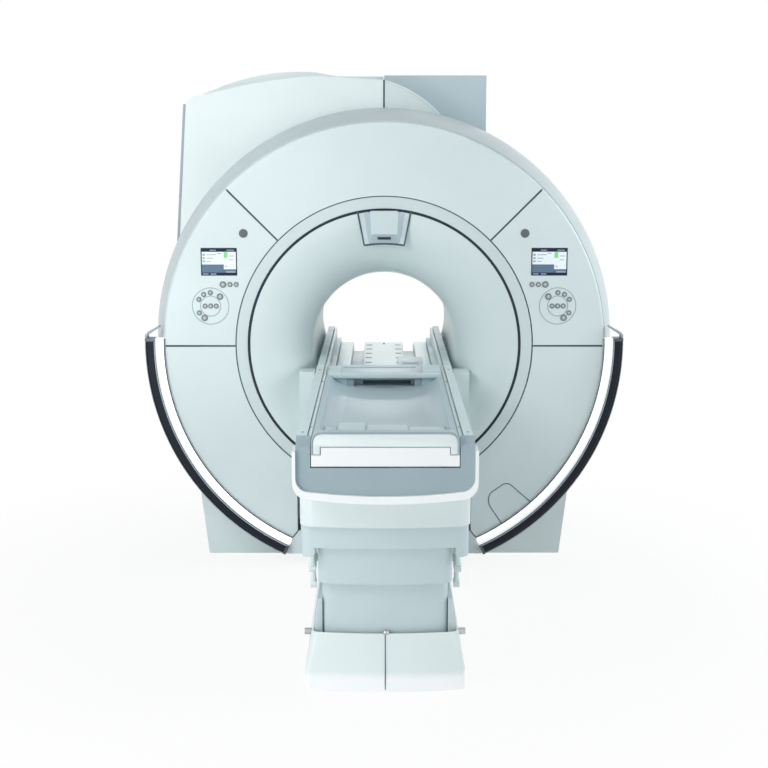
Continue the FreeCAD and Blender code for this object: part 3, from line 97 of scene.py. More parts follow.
mouldedLook = {   # noise: scale, detail and roughness; a range is the part of a mask that is used
    "cloud": (1.6, 3.0, 0.55), "cloudRange": (0.35, 0.7),
    "grain": (4.0, 0.7),   # its scale comes from the finish
    "smear": (7.0, 3.0, 0.5), "smearTwist": 0.2, "smearRange": (0.3, 0.7),
    "facingUp": (0.55, 0.98), "dustPatches": (0.42, 0.72), "dustColour": (0.74, 0.74, 0.72, 1),
}
brushedLook = {"lines": (1.0, 4.0, 0.65), "linesRange": (0.3, 0.7), "stain": (6.0, 3.0, 0.5),
               "stainRange": (0.12, 0.4)}


def addNoise(tree, vector, scale, detail, roughness, twist=0.0):
    return addNode(tree, "ShaderNodeTexNoise", [("Vector", vector)], in_Scale=scale,
                   in_Detail=detail, in_Roughness=roughness, in_Distortion=twist)


def buildMoulded():
    # moulded and lacquered plastic: faint cloudy colour, fine grain, settled dust on top faces
    group, inputs, outputs = newGroup("mouldedFinish", [
        ("Colour", "NodeSocketColor", (0.7, 0.7, 0.7, 1)),
        ("Deep Colour", "NodeSocketColor", (0.6, 0.6, 0.6, 1)),
        ("Grain Scale", "NodeSocketFloat", 900.0),
        ("Low Roughness", "NodeSocketFloat", 0.3),
        ("High Roughness", "NodeSocketFloat", 0.45),
        ("Dust", "NodeSocketFloat", 0.2),
    ], [("Colour", "NodeSocketColor"), ("Roughness", "NodeSocketFloat"),
        ("Height", "NodeSocketFloat")])
    place = addNode(group, "ShaderNodeTexCoord").outputs["Object"]
    cloud = addNoise(group, place, *mouldedLook["cloud"])
    grain = addNode(group, "ShaderNodeTexNoise",
                    [("Vector", place), ("Scale", inputs.outputs["Grain Scale"])],
                    in_Detail=mouldedLook["grain"][0], in_Roughness=mouldedLook["grain"][1])
    smear = addNoise(group, place, *mouldedLook["smear"], twist=mouldedLook["smearTwist"])
    base = mixColour(group, mapRange(group, cloud.outputs["Fac"], 0.0, 1.0,
                                     *mouldedLook["cloudRange"]),
                     inputs.outputs["Colour"], inputs.outputs["Deep Colour"])
    upward = addNode(group, "ShaderNodeSeparateXYZ",
                     [("Vector", addNode(group, "ShaderNodeNewGeometry").outputs["Normal"])])
    lying = mapRange(group, upward.outputs["Z"], 0.0, 1.0, *mouldedLook["facingUp"])
    patchy = mapRange(group, smear.outputs["Fac"], 0.0, 1.0, *mouldedLook["dustPatches"])
    dust = addNode(group, "ShaderNodeMath", operation="MULTIPLY",
                   links=[(0, lying), (1, patchy)]).outputs[0]
    dustAmount = addNode(group, "ShaderNodeMath", operation="MULTIPLY",
                         links=[(0, dust), (1, inputs.outputs["Dust"])]).outputs[0]
    dusty = mixColour(group, dustAmount, base, mouldedLook["dustColour"])
    rough = mapRange(group, smear.outputs["Fac"], inputs.outputs["Low Roughness"],
                     inputs.outputs["High Roughness"], *mouldedLook["smearRange"])
    roughDusty = addNode(group, "ShaderNodeMath", operation="ADD",
                         links=[(0, rough), (1, dustAmount)]).outputs[0]
    group.links.new(dusty, outputs.inputs["Colour"])
    group.links.new(roughDusty, outputs.inputs["Roughness"])
    group.links.new(grain.outputs["Fac"], outputs.inputs["Height"])
    return group


def buildBrushed():
    # ground or brushed metal: long scratches along one axis and a soft stain
    group, inputs, outputs = newGroup("brushedFinish", [
        ("Colour", "NodeSocketColor", (0.6, 0.6, 0.6, 1)),
        ("Deep Colour", "NodeSocketColor", (0.5, 0.5, 0.5, 1)),
        ("Stretch", "NodeSocketVector", (600.0, 4.0, 600.0)),
        ("Low Roughness", "NodeSocketFloat", 0.22),
        ("High Roughness", "NodeSocketFloat", 0.42),
    ], [("Colour", "NodeSocketColor"), ("Roughness", "NodeSocketFloat"),
        ("Height", "NodeSocketFloat")])
    place = addNode(group, "ShaderNodeTexCoord").outputs["Object"]
    pulled = addNode(group, "ShaderNodeVectorMath", operation="MULTIPLY",
                     links=[(0, place), (1, inputs.outputs["Stretch"])])
    lines = addNoise(group, pulled.outputs[0], *brushedLook["lines"])
    stain = addNoise(group, place, *brushedLook["stain"])
    blend = addNode(group, "ShaderNodeMath", operation="MULTIPLY",
                    links=[(0, lines.outputs["Fac"]), (1, stain.outputs["Fac"])]).outputs[0]
    colour = mixColour(group, mapRange(group, blend, 0.0, 1.0, *brushedLook["stainRange"]),
                       inputs.outputs["Colour"], inputs.outputs["Deep Colour"])
    rough = mapRange(group, lines.outputs["Fac"], inputs.outputs["Low Roughness"],
                     inputs.outputs["High Roughness"], *brushedLook["linesRange"])
    group.links.new(colour, outputs.inputs["Colour"])
    group.links.new(rough, outputs.inputs["Roughness"])
    group.links.new(lines.outputs["Fac"], outputs.inputs["Height"])
    return group


mouldedGroup = buildMoulded()
brushedGroup = buildBrushed()


def startMaterial(name):
    material = bpy.data.materials.new(name)
    material.use_nodes = True
    tree = material.node_tree
    shader = tree.nodes["Principled BSDF"]
    return material, tree, shader


finishLook = {
    "mouldedDeep": 0.93, "mouldedRelief": 0.0003, "coatRoughness": 0.12,
    "brushedDeep": 0.80, "brushedRelief": 0.001, "brushedBump": 0.04,
    "brushedRough": (0.22, 0.42),
}


def moulded(name, colour, rough=(0.30, 0.46), grain=900.0, bump=0.05, dust=0.15, coat=0.0,
            lit=0.0, litColour=(1, 1, 1, 1), shine=0.5, paintedLightBand=None):
    material, tree, shader = startMaterial(name)
    finish = addNode(tree, "ShaderNodeGroup", node_tree=mouldedGroup)
    finish.inputs["Colour"].default_value = (*colour, 1)
    finish.inputs["Deep Colour"].default_value = (*[part * finishLook["mouldedDeep"]
                                                    for part in colour], 1)
    finish.inputs["Grain Scale"].default_value = grain
    finish.inputs["Low Roughness"].default_value = rough[0]
    finish.inputs["High Roughness"].default_value = rough[1]
    finish.inputs["Dust"].default_value = dust
    relief = addNode(tree, "ShaderNodeBump", [("Height", finish.outputs["Height"])],
                     in_Strength=bump, in_Distance=finishLook["mouldedRelief"])
    colourOut = finish.outputs["Colour"]
    if paintedLightBand:
        # painted light: past one level of the part the colour turns lighter, as if more light fell
        # there
        place = addNode(tree, "ShaderNodeTexCoord").outputs["Object"]
        along = addNode(tree, "ShaderNodeSeparateXYZ", [("Vector", place)]).outputs[paintedLightBand["axis"]]
        share = mapRange(tree, along, 0.0, 1.0, paintedLightBand["start"], paintedLightBand["end"])
        colourOut = mixColour(tree, share, colourOut, (*paintedLightBand["colour"], 1))
    tree.links.new(colourOut, shader.inputs["Base Color"])
    tree.links.new(finish.outputs["Roughness"], shader.inputs["Roughness"])
    tree.links.new(relief.outputs["Normal"], shader.inputs["Normal"])
    shader.inputs["Specular IOR Level"].default_value = shine
    shader.inputs["Coat Weight"].default_value = coat
    shader.inputs["Coat Roughness"].default_value = finishLook["coatRoughness"]
    if lit:
        shader.inputs["Emission Color"].default_value = litColour
        shader.inputs["Emission Strength"].default_value = lit
    return material


def brushed(name, colour, stretch):
    material, tree, shader = startMaterial(name)
    finish = addNode(tree, "ShaderNodeGroup", node_tree=brushedGroup)
    finish.inputs["Colour"].default_value = (*colour, 1)
    finish.inputs["Deep Colour"].default_value = (*[part * finishLook["brushedDeep"]
                                                    for part in colour], 1)
    finish.inputs["Stretch"].default_value = stretch
    finish.inputs["Low Roughness"].default_value = finishLook["brushedRough"][0]
    finish.inputs["High Roughness"].default_value = finishLook["brushedRough"][1]
    relief = addNode(tree, "ShaderNodeBump", [("Height", finish.outputs["Height"])],
                     in_Strength=finishLook["brushedBump"],
                     in_Distance=finishLook["brushedRelief"])
    tree.links.new(finish.outputs["Colour"], shader.inputs["Base Color"])
    tree.links.new(finish.outputs["Roughness"], shader.inputs["Roughness"])
    tree.links.new(relief.outputs["Normal"], shader.inputs["Normal"])
    shader.inputs["Metallic"].default_value = 1.0
    return material


finishes = {
    "casing": moulded("casing", (0.70, 0.795, 0.795), coat=0.25),
    "casing_shade": moulded("casingShade", (0.50, 0.61, 0.65), coat=0.15),
    "bezel": moulded("bezel", (0.635, 0.73, 0.745), coat=0.25),
    "vessel_steel": brushed("vesselSteel", (0.55, 0.56, 0.58), stretch=(8, 500, 8)),
    "winding": brushed("winding", (0.62, 0.30, 0.16), stretch=(20, 700, 20)),
    "resin": moulded("resin", (0.33, 0.27, 0.16), rough=(0.4, 0.6), grain=300, bump=0.2),
    "liner": moulded("liner", (0.68, 0.77, 0.78), coat=0.1),
    "foot_iron": moulded("footIron", (0.14, 0.16, 0.19), rough=(0.45, 0.6), grain=500),
    "display": moulded("display", (0.035, 0.04, 0.05), rough=(0.12, 0.22), coat=0.6, dust=0.05),
    "key": moulded("key", (0.17, 0.20, 0.215), rough=(0.45, 0.6), grain=1600, bump=0.1),
    "diffuser": moulded("diffuser", (0.90, 0.93, 0.95), lit=0.55, dust=0.02),
    "bumper": moulded("bumper", (0.006, 0.009, 0.018), rough=(0.34, 0.48), dust=0.0,
                      shine=0.22),
    "dock": moulded("dock", (0.68, 0.78, 0.79), rough=(0.38, 0.50)),
    "bridge": moulded("bridge", (0.60, 0.70, 0.72), rough=(0.38, 0.48)),
    # painted highlight: the table top's white parts turn lighter at its front end, for the bright
    # line along the front trim
    "table_white": moulded("tableWhite", (0.76, 0.85, 0.85), coat=0.25,
                           paintedLightBand={"axis": "Y", "start": -2.3735, "end": -2.3765,
                                  "colour": (0.96, 0.98, 0.98)}),
    "table_grey": moulded("tableGrey", (0.36, 0.46, 0.50), rough=(0.42, 0.54), grain=1200,
                          bump=0.08),
    "rail": moulded("rail", (0.68, 0.79, 0.81), rough=(0.32, 0.42), dust=0.05),
    "cradle": moulded("cradle", (0.48, 0.59, 0.63), rough=(0.34, 0.36), grain=320, bump=0,
                      dust=0, coat=0.15),
    "stage": moulded("stage", (0.60, 0.71, 0.73), rough=(0.40, 0.50), grain=600, bump=0.05),
    "lift_metal": brushed("liftMetal", (0.50, 0.52, 0.54), stretch=(300, 300, 6)),
    "base": moulded("base", (0.60, 0.70, 0.72), rough=(0.42, 0.54), grain=600, bump=0.05),
    # painted light: the foot cover turns lighter below 8 cm, for light thrown up from the floor
    # onto its lower band
    "foot_cover": moulded("footCover", (0.80, 0.89, 0.885), coat=0.2,
                          paintedLightBand={"axis": "Z", "start": 0.080, "end": 0.048,
                                 "colour": (0.97, 0.985, 0.985)}),
    "pedal": brushed("pedal", (0.55, 0.59, 0.61), stretch=(400, 4, 400)),
}
rubberDark = moulded("rubberDark", (0.020, 0.033, 0.052), rough=(0.45, 0.55), dust=0.01,
                     shine=0.25)
rubberGrey = moulded("rubberGrey", (0.070, 0.100, 0.125), rough=(0.5, 0.6), dust=0.02,
                     shine=0.3)
seamGrey = moulded("seamGrey", (0.15, 0.20, 0.23), rough=(0.5, 0.6), dust=0.02, shine=0.3)
# painted shade: darker copies of the casing for the laser housing's nose, the sides darkest, as if
# turned from the light
podShadedFace = moulded("podShadedFace", (0.61, 0.71, 0.73), coat=0.3, dust=0.02)
podShadedSide = moulded("podShadedSide", (0.46, 0.56, 0.60), rough=(0.28, 0.36), coat=0.4, dust=0.02)
deckLight = moulded("deckLight", (0.76, 0.86, 0.85), rough=(0.36, 0.44), dust=0.02)
coverWhite = moulded("coverWhite", (0.82, 0.90, 0.895), coat=0.2)
edgeShade = moulded("edgeShade", (0.34, 0.42, 0.46), rough=(0.35, 0.5))
capMetal = brushed("capMetal", (0.10, 0.11, 0.13), stretch=(40, 40, 500))
keyFace = moulded("keyFace", (0.34, 0.39, 0.41), rough=(0.35, 0.5), grain=1600)
keySign = moulded("keySign", (0.80, 0.84, 0.85), rough=(0.4, 0.5), dust=0.02)
grillePlate = moulded("grillePlate", (0.14, 0.17, 0.19), rough=(0.4, 0.55), grain=1200)
screenTints = {   # by name: colour, then the strength and colour of its light
    "navy": ((0.016, 0.022, 0.050), 0.05, (0.05, 0.07, 0.18, 1)),
    "page": ((0.72, 0.79, 0.82), 0.22, (0.86, 0.95, 1.0, 1)),
    "row": ((0.36, 0.42, 0.46), 0.08, (0.6, 0.7, 0.8, 1)),
    "green": ((0.20, 0.62, 0.22), 0.2, (0.25, 0.9, 0.3, 1)),
    "slate": ((0.12, 0.19, 0.27), 0.06, (0.25, 0.40, 0.60, 1)),
}
screenFinishes = [moulded("screen" + name.capitalize(), colour, rough=(0.12, 0.2), dust=0.0,
                          shine=0.15, lit=lit, litColour=litColour)
                  for name, (colour, lit, litColour) in screenTints.items()]
slotOf = {row["node"]: row["material_slot"] for row in frame["record"]["subparts"]}
# painted light and shade: the left top cover takes the whiter coverWhite as a lit copy of the
# casing, the shoulder cover a darker copy as painted shade
litAndShadedCopies = {
    "left_top_cover": coverWhite,
    "shoulder_cover": moulded("shoulderCoverShade", (0.55, 0.645, 0.66), coat=0.25),
}
for name, node in nodes.items():
    node.data.materials.clear()
    node.data.materials.append(litAndShadedCopies.get(name) or finishes[slotOf[name]])
print("stage: finishes on CAD nodes")


# shared ways of making a piece

def bevelEdges(bm, edges, offset, segments=2):
    bmesh.ops.bevel(bm, geom=edges, offset=offset, offset_type="OFFSET", segments=segments,
                    profile=0.5, affect="EDGES", material=-1, clamp_overlap=True)


def addBlock(bm, low, high, edge=0.0, segments=2, tint=0):
    before = set(bm.faces)
    made = bmesh.ops.create_cube(bm, size=1)["verts"]
    low, high = Vector(low), Vector(high)
    bmesh.ops.scale(bm, vec=high - low, verts=made)
    bmesh.ops.translate(bm, vec=(low + high) / 2, verts=made)
    if edge:
        bevelEdges(bm, list({e for vert in made for e in vert.link_edges}), edge, segments)
    for face in set(bm.faces) - before:
        face.material_index = tint


def addPrism(bm, outline, front, back, edge=0.0, segments=2):
    # an outline of (x, z) points at the front, pushed back
    face = bm.faces.new([bm.verts.new((x, front, z)) for x, z in outline])
    rim = list(face.edges)
    made = bmesh.ops.extrude_face_region(bm, geom=[face])["geom"]
    pushed = [item for item in made if isinstance(item, bmesh.types.BMVert)]
    bmesh.ops.translate(bm, vec=(0, back - front, 0), verts=pushed)
    if edge:
        bevelEdges(bm, rim, edge, segments)


def addArc(bm, section, start, span, steps):
    # a section of (radius, y) points swept round the face centre, degrees from straight up
    turn = Matrix.Rotation(math.radians(start), 3, "Y")
    face = bm.faces.new([bm.verts.new(faceCentre + turn @ Vector((0, y, radius)))
                         for radius, y in section])
    bmesh.ops.spin(bm, geom=[face] + list(face.edges) + list(face.verts), cent=faceCentre,
                   axis=(0, 1, 0), angle=math.radians(span), steps=steps)


def addDisc(bm, centre, radius, front, back, edge=0.0, segments=32, tint=0):
    # a flat round face that looks forward, with its rim rounded
    before = set(bm.faces)
    made = bmesh.ops.create_cone(bm, cap_ends=True, segments=segments, radius1=radius,
                                 radius2=radius, depth=back - front)["verts"]
    bmesh.ops.rotate(bm, cent=(0, 0, 0), verts=made, matrix=Matrix.Rotation(math.pi / 2, 3, "X"))
    bmesh.ops.translate(bm, vec=(centre[0], (front + back) / 2, centre[1]), verts=made)
    if edge:
        rim = [e for e in {e for vert in made for e in vert.link_edges}
               if all(vert.co.y < (front + back) / 2 for vert in e.verts)]
        bevelEdges(bm, rim, edge)
    for face in set(bm.faces) - before:
        face.material_index = tint


def addWire(bm, points, radius):
    # a round bead along straight runs
    data = bpy.data.curves.new("bead", "CURVE")
    data.dimensions = "3D"
    data.bevel_depth = radius
    data.bevel_resolution = 2
    data.use_fill_caps = True
    spline = data.splines.new("POLY")
    spline.points.add(len(points) - 1)
    for point, place in zip(spline.points, points):
        point.co = (*place, 1)
    line = bpy.data.objects.new("bead", data)
    mesh = bpy.data.meshes.new_from_object(line)
    bm.from_mesh(mesh)
    bpy.data.objects.remove(line)
    bpy.data.curves.remove(data)
    bpy.data.meshes.remove(mesh)


def roundCorners(points, radius, steps=6):
    # replaces each inner corner of a run by a short curve
    path = [Vector(points[0])]
    room = 2.05   # a little over half of each run, so that two curves never meet
    for before, corner, after in zip(points, points[1:], points[2:]):
        before, corner, after = Vector(before), Vector(corner), Vector(after)
        reach = min(radius, (before - corner).length / room, (after - corner).length / room)
        start = corner + (before - corner).normalized() * reach
        end = corner + (after - corner).normalized() * reach
        for step in range(steps + 1):
            t = step / steps
            path.append(start * (1 - t) ** 2 + corner * 2 * t * (1 - t) + end * t ** 2)
    return path + [Vector(points[-1])]


def addPiece(name, bm, finish, body="root", sharp=35):
    bmesh.ops.remove_doubles(bm, verts=bm.verts, dist=1e-6)
    bmesh.ops.recalc_face_normals(bm, faces=bm.faces)
    mesh = bpy.data.meshes.new(name)
    bm.to_mesh(mesh)
    bm.free()
    for material in finish if isinstance(finish, list) else [finish]:
        mesh.materials.append(material)
    mesh.polygons.foreach_set("use_smooth", [True] * len(mesh.polygons))
    mesh.set_sharp_from_angle(angle=math.radians(sharp))
    piece = bpy.data.objects.new(name, mesh)
    scene.collection.objects.link(piece)
    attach(piece, body)
    return piece


# front face: gaskets, seams and bands
faceTrim = {
    "bezelRing": [(0.6405, -0.7960), (0.6415, -0.8010), (0.6435, -0.8024), (0.6520, -0.8024),
                  (0.6540, -0.8010), (0.6550, -0.7960)],
    "bezelOpen": 39.3,   # degrees left open below, each side
    "panelRing": [(0.7093, -0.7900), (0.7093, -0.7986), (0.7110, -0.7992), (0.7127, -0.7986),
                  (0.7127, -0.7900)],
    "panelOpen": 35.2,
    "steps": 120,
    "seams": (-90, -45, 45, 90),   # degrees from straight up
    "seamInner": (0.7135, 0.0040),   # radius and half width
    "seamOuter": (1.0460, 0.0047),
    "seamFront": -0.8004,
    "seamBack": -0.7800,
}
for name, ring, finish in (("bezelGasket", "bezel", rubberDark),
                           ("panelGasket", "panel", rubberGrey)):
    bm = bmesh.new()
    opening = faceTrim[ring + "Open"]
    addArc(bm, faceTrim[ring + "Ring"], opening - 180, 360 - 2 * opening, faceTrim["steps"])
    addPiece(name, bm, finish)
bm = bmesh.new()
for angle in faceTrim["seams"]:
    turn = Matrix.Rotation(math.radians(angle), 3, "Y")
    corners = []
    for (radius, half), signs in ((faceTrim["seamInner"], (-1, 1)),
                                  (faceTrim["seamOuter"], (1, -1))):
        for sign in signs:
            place = turn @ Vector((sign * half, 0, radius))
            corners.append((place.x, place.z + faceCentre.z))
    addPrism(bm, corners, faceTrim["seamFront"], faceTrim["seamBack"])
addPiece("seamGaskets", bm, rubberGrey)

bandTrim = {
    "line": [(1.0522, -0.8000), (1.0522, -0.8125), (1.0552, -0.8125), (1.0552, -0.8000)],
    "railEdge": [(1.0945, -0.8300), (1.0952, -0.8330), (1.0985, -0.8336), (1.0985, -0.8300)],
    "railRim": [(1.1375, -0.8300), (1.1378, -0.8334), (1.1403, -0.8330), (1.1408, -0.8290)],
    "cap": [(1.0945, -0.7710), (1.0945, -0.8318), (1.0963, -0.8336), (1.1394, -0.8336),
            (1.1409, -0.8321), (1.1409, -0.7710)],
    "start": 88.0, "span": 66.7, "steps": 40,
    "capSpan": 0.75, "capPast": 0.1, "capSteps": 2,
    "strut": [(1.0700, 1.1820), (1.0760, 1.1880), (1.1310, 1.1575), (1.1395, 1.1460),
              (1.1395, 1.1275), (1.1310, 1.1275), (1.1300, 1.1400), (1.1240, 1.1480)],
    "strutDepth": (-0.8320, -0.7740), "strutEdge": 0.0015,
}
for side, name in ((-1, "left"), (1, "right")):
    start, span, capSpan = bandTrim["start"], bandTrim["span"], bandTrim["capSpan"]
    bm = bmesh.new()
    addArc(bm, bandTrim["line"], side * start, side * span, bandTrim["steps"])
    addPiece(name + "_bandLine", bm, rubberGrey)
    bm = bmesh.new()
    for section in ("railEdge", "railRim"):
        addArc(bm, bandTrim[section], side * start, side * span, bandTrim["steps"])
    addPiece(name + "_railEdges", bm, edgeShade)
    bm = bmesh.new()
    for begin in (start - bandTrim["capPast"], start + span + bandTrim["capPast"] - capSpan):
        addArc(bm, bandTrim["cap"], side * begin, side * capSpan, bandTrim["capSteps"])
    addPiece(name + "_railCaps", bm, capMetal)
    bm = bmesh.new()
    addPrism(bm, [(side * x, z) for x, z in bandTrim["strut"]], *bandTrim["strutDepth"],
             edge=bandTrim["strutEdge"])
    addPiece(name + "_railStrut", bm, edgeShade)
print("stage: face trim")


# keys, screens and speakers of the two control panels
controls = {
    "screen": (0.783, 1.493), "screenHalf": (0.0838, 0.0638), "screenFront": -0.8004,
    "screenSunk": 0.0001, "groundLift": 0.0002, "areaLift": 0.0005, "markLift": 0.0008,
    "largeAreas": ("navy", "page", "slate"),
    "speaker": (0.665, 1.627), "speakerRadius": 0.021, "speakerSegments": 40,
    "speakerRim": (-0.8022, -0.7995), "speakerRimEdge": 0.0010,
    "speakerPlate": (-0.8026, -0.8020), "plateShare": 0.86, "plateEdge": 0.0003,
    "grilleRings": (1, 6, 12, 18), "grilleStep": 0.235, "grilleHole": 0.0013,
    "grilleDepth": (-0.8029, -0.8025), "grilleSegments": 8,
    "largeKeys": (1, 8, 9), "largeRadius": 0.0155, "smallRadius": 0.012, "keyCount": 12,
    "keyFront": -0.8025, "faceShare": 0.66, "faceDepth": (-0.0005, 0.0002),
    "faceEdge": 0.0003, "faceSegments": 28, "signThick": 0.0005, "signLift": 0.0008,
    "dial": (0.827, 1.282), "dialRims": (0.0875, 0.0485), "dialSteps": 56,
    "rimHalf": (0.0020, 0.0014), "rimDepth": (-0.7992, -0.8005),
}
screenLayout = [   # left, right, low and high as shares of the picture, then its tint
    (0.000, 1.000, 0.000, 1.000, "navy"), (0.015, 0.985, 0.885, 0.975, "navy"),
    (0.020, 0.635, 0.400, 0.870, "page"), (0.020, 0.635, 0.100, 0.390, "slate"),
    (0.635, 0.980, 0.220, 0.870, "page"), (0.640, 0.745, 0.650, 0.860, "green"),
    (0.640, 0.980, 0.100, 0.205, "slate"), (0.040, 0.110, 0.720, 0.800, "row"),
    (0.040, 0.110, 0.600, 0.670, "row"), (0.040, 0.110, 0.480, 0.550, "row"),
    (0.150, 0.420, 0.745, 0.775, "row"), (0.150, 0.330, 0.620, 0.650, "row"),
    (0.150, 0.280, 0.500, 0.530, "row"), (0.440, 0.560, 0.800, 0.830, "row"),
    (0.250, 0.420, 0.915, 0.945, "row"), (0.720, 0.930, 0.915, 0.945, "row"),
    (0.660, 0.740, 0.320, 0.350, "row"), (0.800, 0.940, 0.700, 0.730, "row"),
    (0.800, 0.900, 0.560, 0.590, "row"), (0.700, 0.960, 0.100, 0.150, "row"),
    (0.040, 0.200, 0.030, 0.065, "row"), (0.260, 0.420, 0.030, 0.065, "row"),
]
keySigns = {   # strokes of each sign on a unit face: x, z, half width, half height, turn
    "plus": [(0, 0, 0.55, 0.13, 0), (0, 0, 0.13, 0.55, 0)],
    "minus": [(0, 0, 0.55, 0.13, 0)],
    "up": [(-0.24, 0.05, 0.42, 0.12, 45), (0.24, 0.05, 0.42, 0.12, -45)],
    "down": [(-0.24, -0.05, 0.42, 0.12, -45), (0.24, -0.05, 0.42, 0.12, 45)],
    "inward": [(0.05, 0.24, 0.42, 0.12, 45), (0.05, -0.24, 0.42, 0.12, -45)],
    "outward": [(-0.05, 0.24, 0.42, 0.12, -45), (-0.05, -0.24, 0.42, 0.12, 45)],
    "bars": [(-0.24, 0, 0.12, 0.45, 0), (0.24, 0, 0.12, 0.45, 0)],
    "square": [(0, 0, 0.32, 0.32, 0)],
    "sloping": [(0, 0, 0.55, 0.13, 45), (0, 0, 0.13, 0.13, 0)],
}
signOfKey = ["square", "bars", "sloping", "up", "plus", "outward", "down", "inward", "plus",
             "minus", "square", "plus"]
tintOrder = list(screenTints)
for side, name in ((-1, "left"), (1, "right")):
    bm = bmesh.new()
    centreX, centreZ = side * controls["screen"][0], controls["screen"][1]
    halfX, halfZ = controls["screenHalf"]
    for index, (left, right, low, high, tint) in enumerate(screenLayout):
        lift = controls["groundLift" if index == 0 else
                        "areaLift" if tint in controls["largeAreas"] else "markLift"]
        addBlock(bm, (centreX + halfX * (2 * left - 1), controls["screenFront"] - lift,
                      centreZ + halfZ * (2 * low - 1)),
                 (centreX + halfX * (2 * right - 1),
                  controls["screenFront"] + controls["screenSunk"],
                  centreZ + halfZ * (2 * high - 1)), tint=tintOrder.index(tint))
    addPiece(name + "_screenPicture", bm, screenFinishes)

    bm = bmesh.new()
    placeX, placeZ = side * controls["speaker"][0], controls["speaker"][1]
    radius = controls["speakerRadius"]
    addDisc(bm, (placeX, placeZ), radius, *controls["speakerRim"],
            edge=controls["speakerRimEdge"], segments=controls["speakerSegments"])
    addDisc(bm, (placeX, placeZ), radius * controls["plateShare"], *controls["speakerPlate"],
            edge=controls["plateEdge"], segments=controls["speakerSegments"])
    for ring, count in enumerate(controls["grilleRings"]):
        reach = radius * controls["grilleStep"] * ring
        for index in range(count):
            turn = 2 * math.pi * index / count
            addDisc(bm, (placeX + reach * math.cos(turn), placeZ + reach * math.sin(turn)),
                    controls["grilleHole"], *controls["grilleDepth"],
                    segments=controls["grilleSegments"], tint=1)
    addPiece(name + "_speaker", bm, [grillePlate, rubberDark])

    # painted shade: dark rings at the dial's two rims, for the shade of its relief
    bm = bmesh.new()
    dialX, dialZ = side * controls["dial"][0], controls["dial"][1]
    wide, narrow = controls["rimHalf"]
    back, front = controls["rimDepth"]
    for radius in controls["dialRims"]:
        ring = [(radius - wide, back), (radius - narrow, front), (radius + narrow, front),
                (radius + wide, back)]
        verts = [bm.verts.new((dialX, y, dialZ + out)) for out, y in ring]
        loop = [bm.edges.new(pair) for pair in zip(verts, verts[1:] + verts[:1])]
        bmesh.ops.spin(bm, geom=loop + verts, axis=(0, 1, 0), angle=2 * math.pi,
                       steps=controls["dialSteps"], cent=(dialX, 0, dialZ), use_merge=True)
    addPiece(name + "_dialRims", bm, edgeShade)

    front = controls["keyFront"]
    nearer, farther = controls["faceDepth"]
    for number in range(1, controls["keyCount"] + 1):
        low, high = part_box(f"{name}_key_{number:02d}")
        place = ((low[0] + high[0]) / 2, (low[2] + high[2]) / 2)
        radius = controls["largeRadius" if number in controls["largeKeys"] else "smallRadius"]
        face = radius * controls["faceShare"]
        bm = bmesh.new()
        addDisc(bm, place, face, front + nearer, front + farther, edge=controls["faceEdge"],
                segments=controls["faceSegments"])
        for x, z, halfX, halfZ, turn in keySigns[signOfKey[number - 1]]:
            stroke = bmesh.new()
            addBlock(stroke, (-halfX * face, 0, -halfZ * face),
                     (halfX * face, controls["signThick"], halfZ * face), tint=1)
            bmesh.ops.rotate(stroke, cent=(0, 0, 0), verts=stroke.verts,
                             matrix=Matrix.Rotation(math.radians(-turn), 3, "Y"))
            bmesh.ops.translate(stroke, verts=stroke.verts,
                                vec=(place[0] + x * face, front - controls["signLift"],
                                     place[1] + z * face))
            drawn = bpy.data.meshes.new("stroke")
            stroke.to_mesh(drawn)
            stroke.free()
            bm.from_mesh(drawn)
            bpy.data.meshes.remove(drawn)
        addPiece(f"{name}_keyFace_{number:02d}", bm, [keyFace, keySign],
                 body=f"{name}_key_{number:02d}_cap")
print("stage: control panels")


# laser housing over the bore
pod = {
    "outline": [(-0.1262, 1.7330), (-0.0945, 1.5700)], "front": -0.8004,
    "bow": 0.564, "bowSteps": 8, "bead": 0.0044,
    "window": ((-0.032, 1.5985), (0.032, 1.6120)), "windowDepth": (-0.8200, -0.8010),
    "windowEdge": 0.0015,
    "pane": ((-0.028, 1.6015), (0.028, 1.6090)), "paneDepth": (-0.8206, -0.8190),
    "paneEdge": 0.0004,
    "noseBase": [(-0.095, 1.7280), (0.095, 1.7280), (0.073, 1.5790), (-0.073, 1.5790)],
    "noseFace": [(-0.060, 1.7260), (0.060, 1.7260), (0.055, 1.6300), (-0.055, 1.6300)],
    "noseDepth": (-0.8004, -0.8300), "noseEdge": 0.006, "noseSegments": 4, "noseSharp": 50,
    "facing": 0.97,   # how squarely a side looks forward to count as the nose's face; the others get the painted shade
}
bm = bmesh.new()
(topX, topZ), (lowX, lowZ) = pod["outline"]
arched = []
for step in range(-pod["bowSteps"], pod["bowSteps"] + 1):
    x = lowX * -step / pod["bowSteps"]
    arched.append((x, pod["front"], lowZ + math.sqrt(pod["bow"] ** 2 - x ** 2)
                   - math.sqrt(pod["bow"] ** 2 - lowX ** 2)))
addWire(bm, [(topX, pod["front"], topZ), *arched, (-topX, pod["front"], topZ)], pod["bead"])
addPiece("podGasket", bm, rubberGrey)
bm = bmesh.new()
for part, tint in (("window", 0), ("pane", 1)):
    (left, low), (right, high) = pod[part]
    front, back = pod[part + "Depth"]
    addBlock(bm, (left, front, low), (right, back, high), edge=pod[part + "Edge"], tint=tint)
addPiece("podWindow", bm, [finishes["display"], rubberDark])
bm = bmesh.new()
rings = []
for outline, y in zip((pod["noseBase"], pod["noseFace"]), pod["noseDepth"]):
    verts = [bm.verts.new((x, y, z)) for x, z in outline]
    rings.append([bm.edges.new(pair) for pair in zip(verts, verts[1:] + verts[:1])])
    bm.faces.new(verts)
bmesh.ops.bridge_loops(bm, edges=rings[0] + rings[1])
